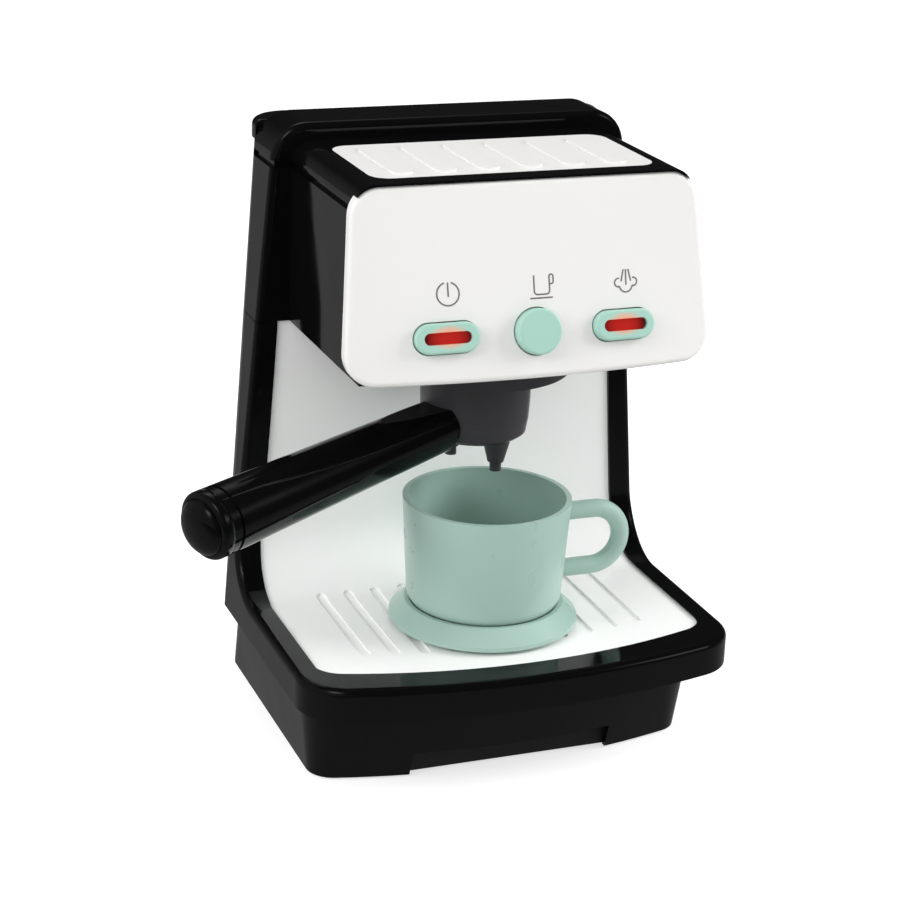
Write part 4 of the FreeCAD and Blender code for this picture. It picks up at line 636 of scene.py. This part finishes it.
# %% Steam sign
STEAM_TOP = 21.9
JETS = (
    ((39.3, STEAM_TOP), (38.1, 16.9)),
    ((40.3, STEAM_TOP), (40.3, 15.4)),
    ((41.4, STEAM_TOP), (42.5, 16.8)),
)
PUFF_ROUND = 1.7
LEFT_PUFF = (36.9, 16.6)
RIGHT_PUFF = (43.5, 16.6)
MIDDLE_PUFF = (40.2, 15.5)
MIDDLE_ROUND = 2.9
cloud = [
    bent(LEFT_PUFF, PUFF_ROUND, 75, 265),
    bent(MIDDLE_PUFF, MIDDLE_ROUND, 188, 352),
    bent(RIGHT_PUFF, PUFF_ROUND, 275, 465),
]
printed_sign("sign_steam", "frame", [[straight(top, foot)] for top, foot in JETS] + [cloud])


# %% [markdown]
# The floor is pale and wide. To the camera it adds its own white to the light
# that falls on it, so it reads as white paper and still keeps the shadow. The
# gloss of the shell does not mirror that paper. Mirrored rays see a dim sheet
# instead, which ends in the dark a little way in front. It was chosen for the
# greys on the skirt in the picture: what the real table was like is not known.

# %% Floor
FLOOR_HALF = 4.0
FLOOR_WHITE = 0.62
PAPER = rgb(204, 204, 204)
WHITE = (1.0, 1.0, 1.0, 1.0)
TABLE_SHINE = 0.24
DARK_SHINE = 0.02
TABLE_END = -0.45
TABLE_NEAR = -0.12


def white_floor():
    material = bpy.data.materials.new("white_paper")
    material.use_nodes = True
    tree = material.node_tree
    tree.nodes.clear()
    camera_ray = add_node(tree, "ShaderNodeLightPath", output="Is Camera Ray")
    glossy = add_node(tree, "ShaderNodeLightPath", output="Is Glossy Ray")
    through = add_node(tree, "ShaderNodeLightPath", output="Is Transmission Ray")
    seen = (camera_ray + through).below(1.0)
    place = add_node(tree, "ShaderNodeTexCoord", output="Object")
    depth = place.node("ShaderNodeSeparateXYZ", None, {0: place}, "Y")
    near = depth.node("ShaderNodeMapRange", {"interpolation_type": "SMOOTHSTEP"},
                      {"Value": depth, "From Min": TABLE_END, "From Max": TABLE_NEAR})
    mirrored = DARK_SHINE + (TABLE_SHINE - DARK_SHINE) * near
    paper = add_node(tree, "ShaderNodeBsdfDiffuse", None, {"Color": PAPER})
    glow = add_node(tree, "ShaderNodeEmission", None, {"Color": WHITE, "Strength": seen * FLOOR_WHITE})
    shine = add_node(tree, "ShaderNodeEmission", None, {"Color": WHITE, "Strength": mirrored})
    lit = add_node(tree, "ShaderNodeAddShader", None, {0: paper, 1: glow})
    both = add_node(tree, "ShaderNodeMixShader", None, {0: glossy, 1: lit, 2: shine})
    add_node(tree, "ShaderNodeOutputMaterial", None, {"Surface": both}, None)
    return material


corner = np.array([[-1, -1], [1, -1], [1, 1], [-1, 1]]) * FLOOR_HALF
floor_mesh = bpy.data.meshes.new("floor")
floor_mesh.from_pydata([(x, y, 0.0) for x, y in corner.tolist()], [], [(0, 1, 2, 3)])
floor_mesh.materials.append(white_floor())
floor = bpy.data.objects.new("floor", floor_mesh)
bpy.context.scene.collection.objects.link(floor)


# %% [markdown]
# The room is white where the camera looks, but the glossy black mirrors another
# one: nearly dark, with a pale wall on the left and soft lamps. It was chosen so
# that the shell's greys come near those in the picture, and what really stood
# round the machine is not known. With white all round, the shell looks paler.

# %% Room
ROOM_LIGHT = 0.64
DARK_ROOM = 0.02
LEFT_WALL = 0.22
WALL_BEGINS = -0.1
WALL_FULL = -0.7

# Each mirrored lamp: its direction, how tight it is, and its strength.
GLOSS_LIGHTS = (
    ((-0.51, -0.46, 0.73), 60.0, 3.2),
    ((0.70, -0.57, 0.42), 90.0, 2.0),
    ((0.10, 0.62, 0.78), 40.0, 1.2),
)


def room():
    """White for the camera, even light for the object, and for its gloss a dark room with
    one pale wall and soft lamps: each lamp is the cosine to its direction, to a power."""
    world = bpy.data.worlds.new("room")
    bpy.context.scene.world = world
    world.use_nodes = True
    tree = world.node_tree
    tree.nodes.clear()
    camera_ray = add_node(tree, "ShaderNodeLightPath", output="Is Camera Ray")
    through = add_node(tree, "ShaderNodeLightPath", output="Is Transmission Ray")
    glossy = add_node(tree, "ShaderNodeLightPath", output="Is Glossy Ray")
    direction = add_node(tree, "ShaderNodeTexCoord", output="Generated")
    to_side = direction.node("ShaderNodeSeparateXYZ", None, {0: direction}, "X")
    wall = to_side.node("ShaderNodeMapRange", {"interpolation_type": "SMOOTHSTEP"},
                        {"Value": to_side, "From Min": WALL_BEGINS, "From Max": WALL_FULL})
    mirrored = DARK_ROOM + LEFT_WALL * wall
    for towards, tightness, strength in GLOSS_LIGHTS:
        towards = np.array(towards) / np.linalg.norm(towards)
        cosine = direction.node("ShaderNodeVectorMath", {"operation": "DOT_PRODUCT"},
                                {0: direction, 1: tuple(map(float, towards))}, "Value")
        mirrored = mirrored + cosine.above(0.0) ** tightness * strength
    white = (camera_ray + through).below(1.0)
    strength = white + (1 - white) * (glossy * mirrored + (1 - glossy) * ROOM_LIGHT)
    light = add_node(tree, "ShaderNodeBackground", None, {"Color": WHITE, "Strength": strength})
    add_node(tree, "ShaderNodeOutputWorld", None, {"Surface": light}, None)


room()


# %% [markdown]
# Five soft boxes light the machine. A key light stands high on the left and a
# weak one in front. Two strong ones at the sides reach the white deck under the
# head, which shades it from above, and one above the back lights the arch. None
# of them shows in the gloss: the lamps that the black mirrors are the room's.

# %% Soft boxes
def soft_box(name, place, aim, width, height, power):
    """A rectangular lamp at a place, turned so that it faces its aim."""
    lamp = bpy.data.lights.new(name, "AREA")
    lamp.shape = "RECTANGLE"
    lamp.size = width
    lamp.size_y = height
    lamp.energy = power
    box = bpy.data.objects.new(name, lamp)
    bpy.context.scene.collection.objects.link(box)
    back = np.array(place, float) - np.array(aim, float)
    back /= np.linalg.norm(back)
    side = np.cross((0.0, 0.0, 1.0), back)
    side /= np.linalg.norm(side)
    turned = np.eye(4)
    turned[:3, 0] = side
    turned[:3, 1] = np.cross(back, side)
    turned[:3, 2] = back
    turned[:3, 3] = place
    box.matrix_world = Matrix(turned.tolist())
    box.visible_camera = False
    box.visible_glossy = False


# Each lamp: its place, its aim, its width, its height and its power in watts.
LAMPS = {
    "key_light": ((-0.95, -0.85, 1.35), (0.0, 0.0, 0.12), 0.9, 0.9, 3.6),
    "front_light": ((-0.25, -1.5, 0.55), (0.0, 0.0, 0.08), 1.2, 0.6, 1.5),
    "left_light": ((-1.30, -0.30, 0.85), (0.0, -0.03, 0.08), 0.8, 0.8, 11.0),
    "right_light": ((1.30, -0.40, 0.80), (0.0, -0.03, 0.08), 0.8, 0.8, 16.5),
    "top_light": ((0.1, 0.55, 1.5), (0.0, 0.0, 0.2), 0.9, 0.5, 3.0),
}
for lamp_name, lamp_values in LAMPS.items():
    soft_box(lamp_name, *lamp_values)
bpy.context.scene.view_settings.view_transform = "Standard"


# %% A box's corners as plain numbers
def corners(box):
    return [[float(v) for v in corner] for corner in box]
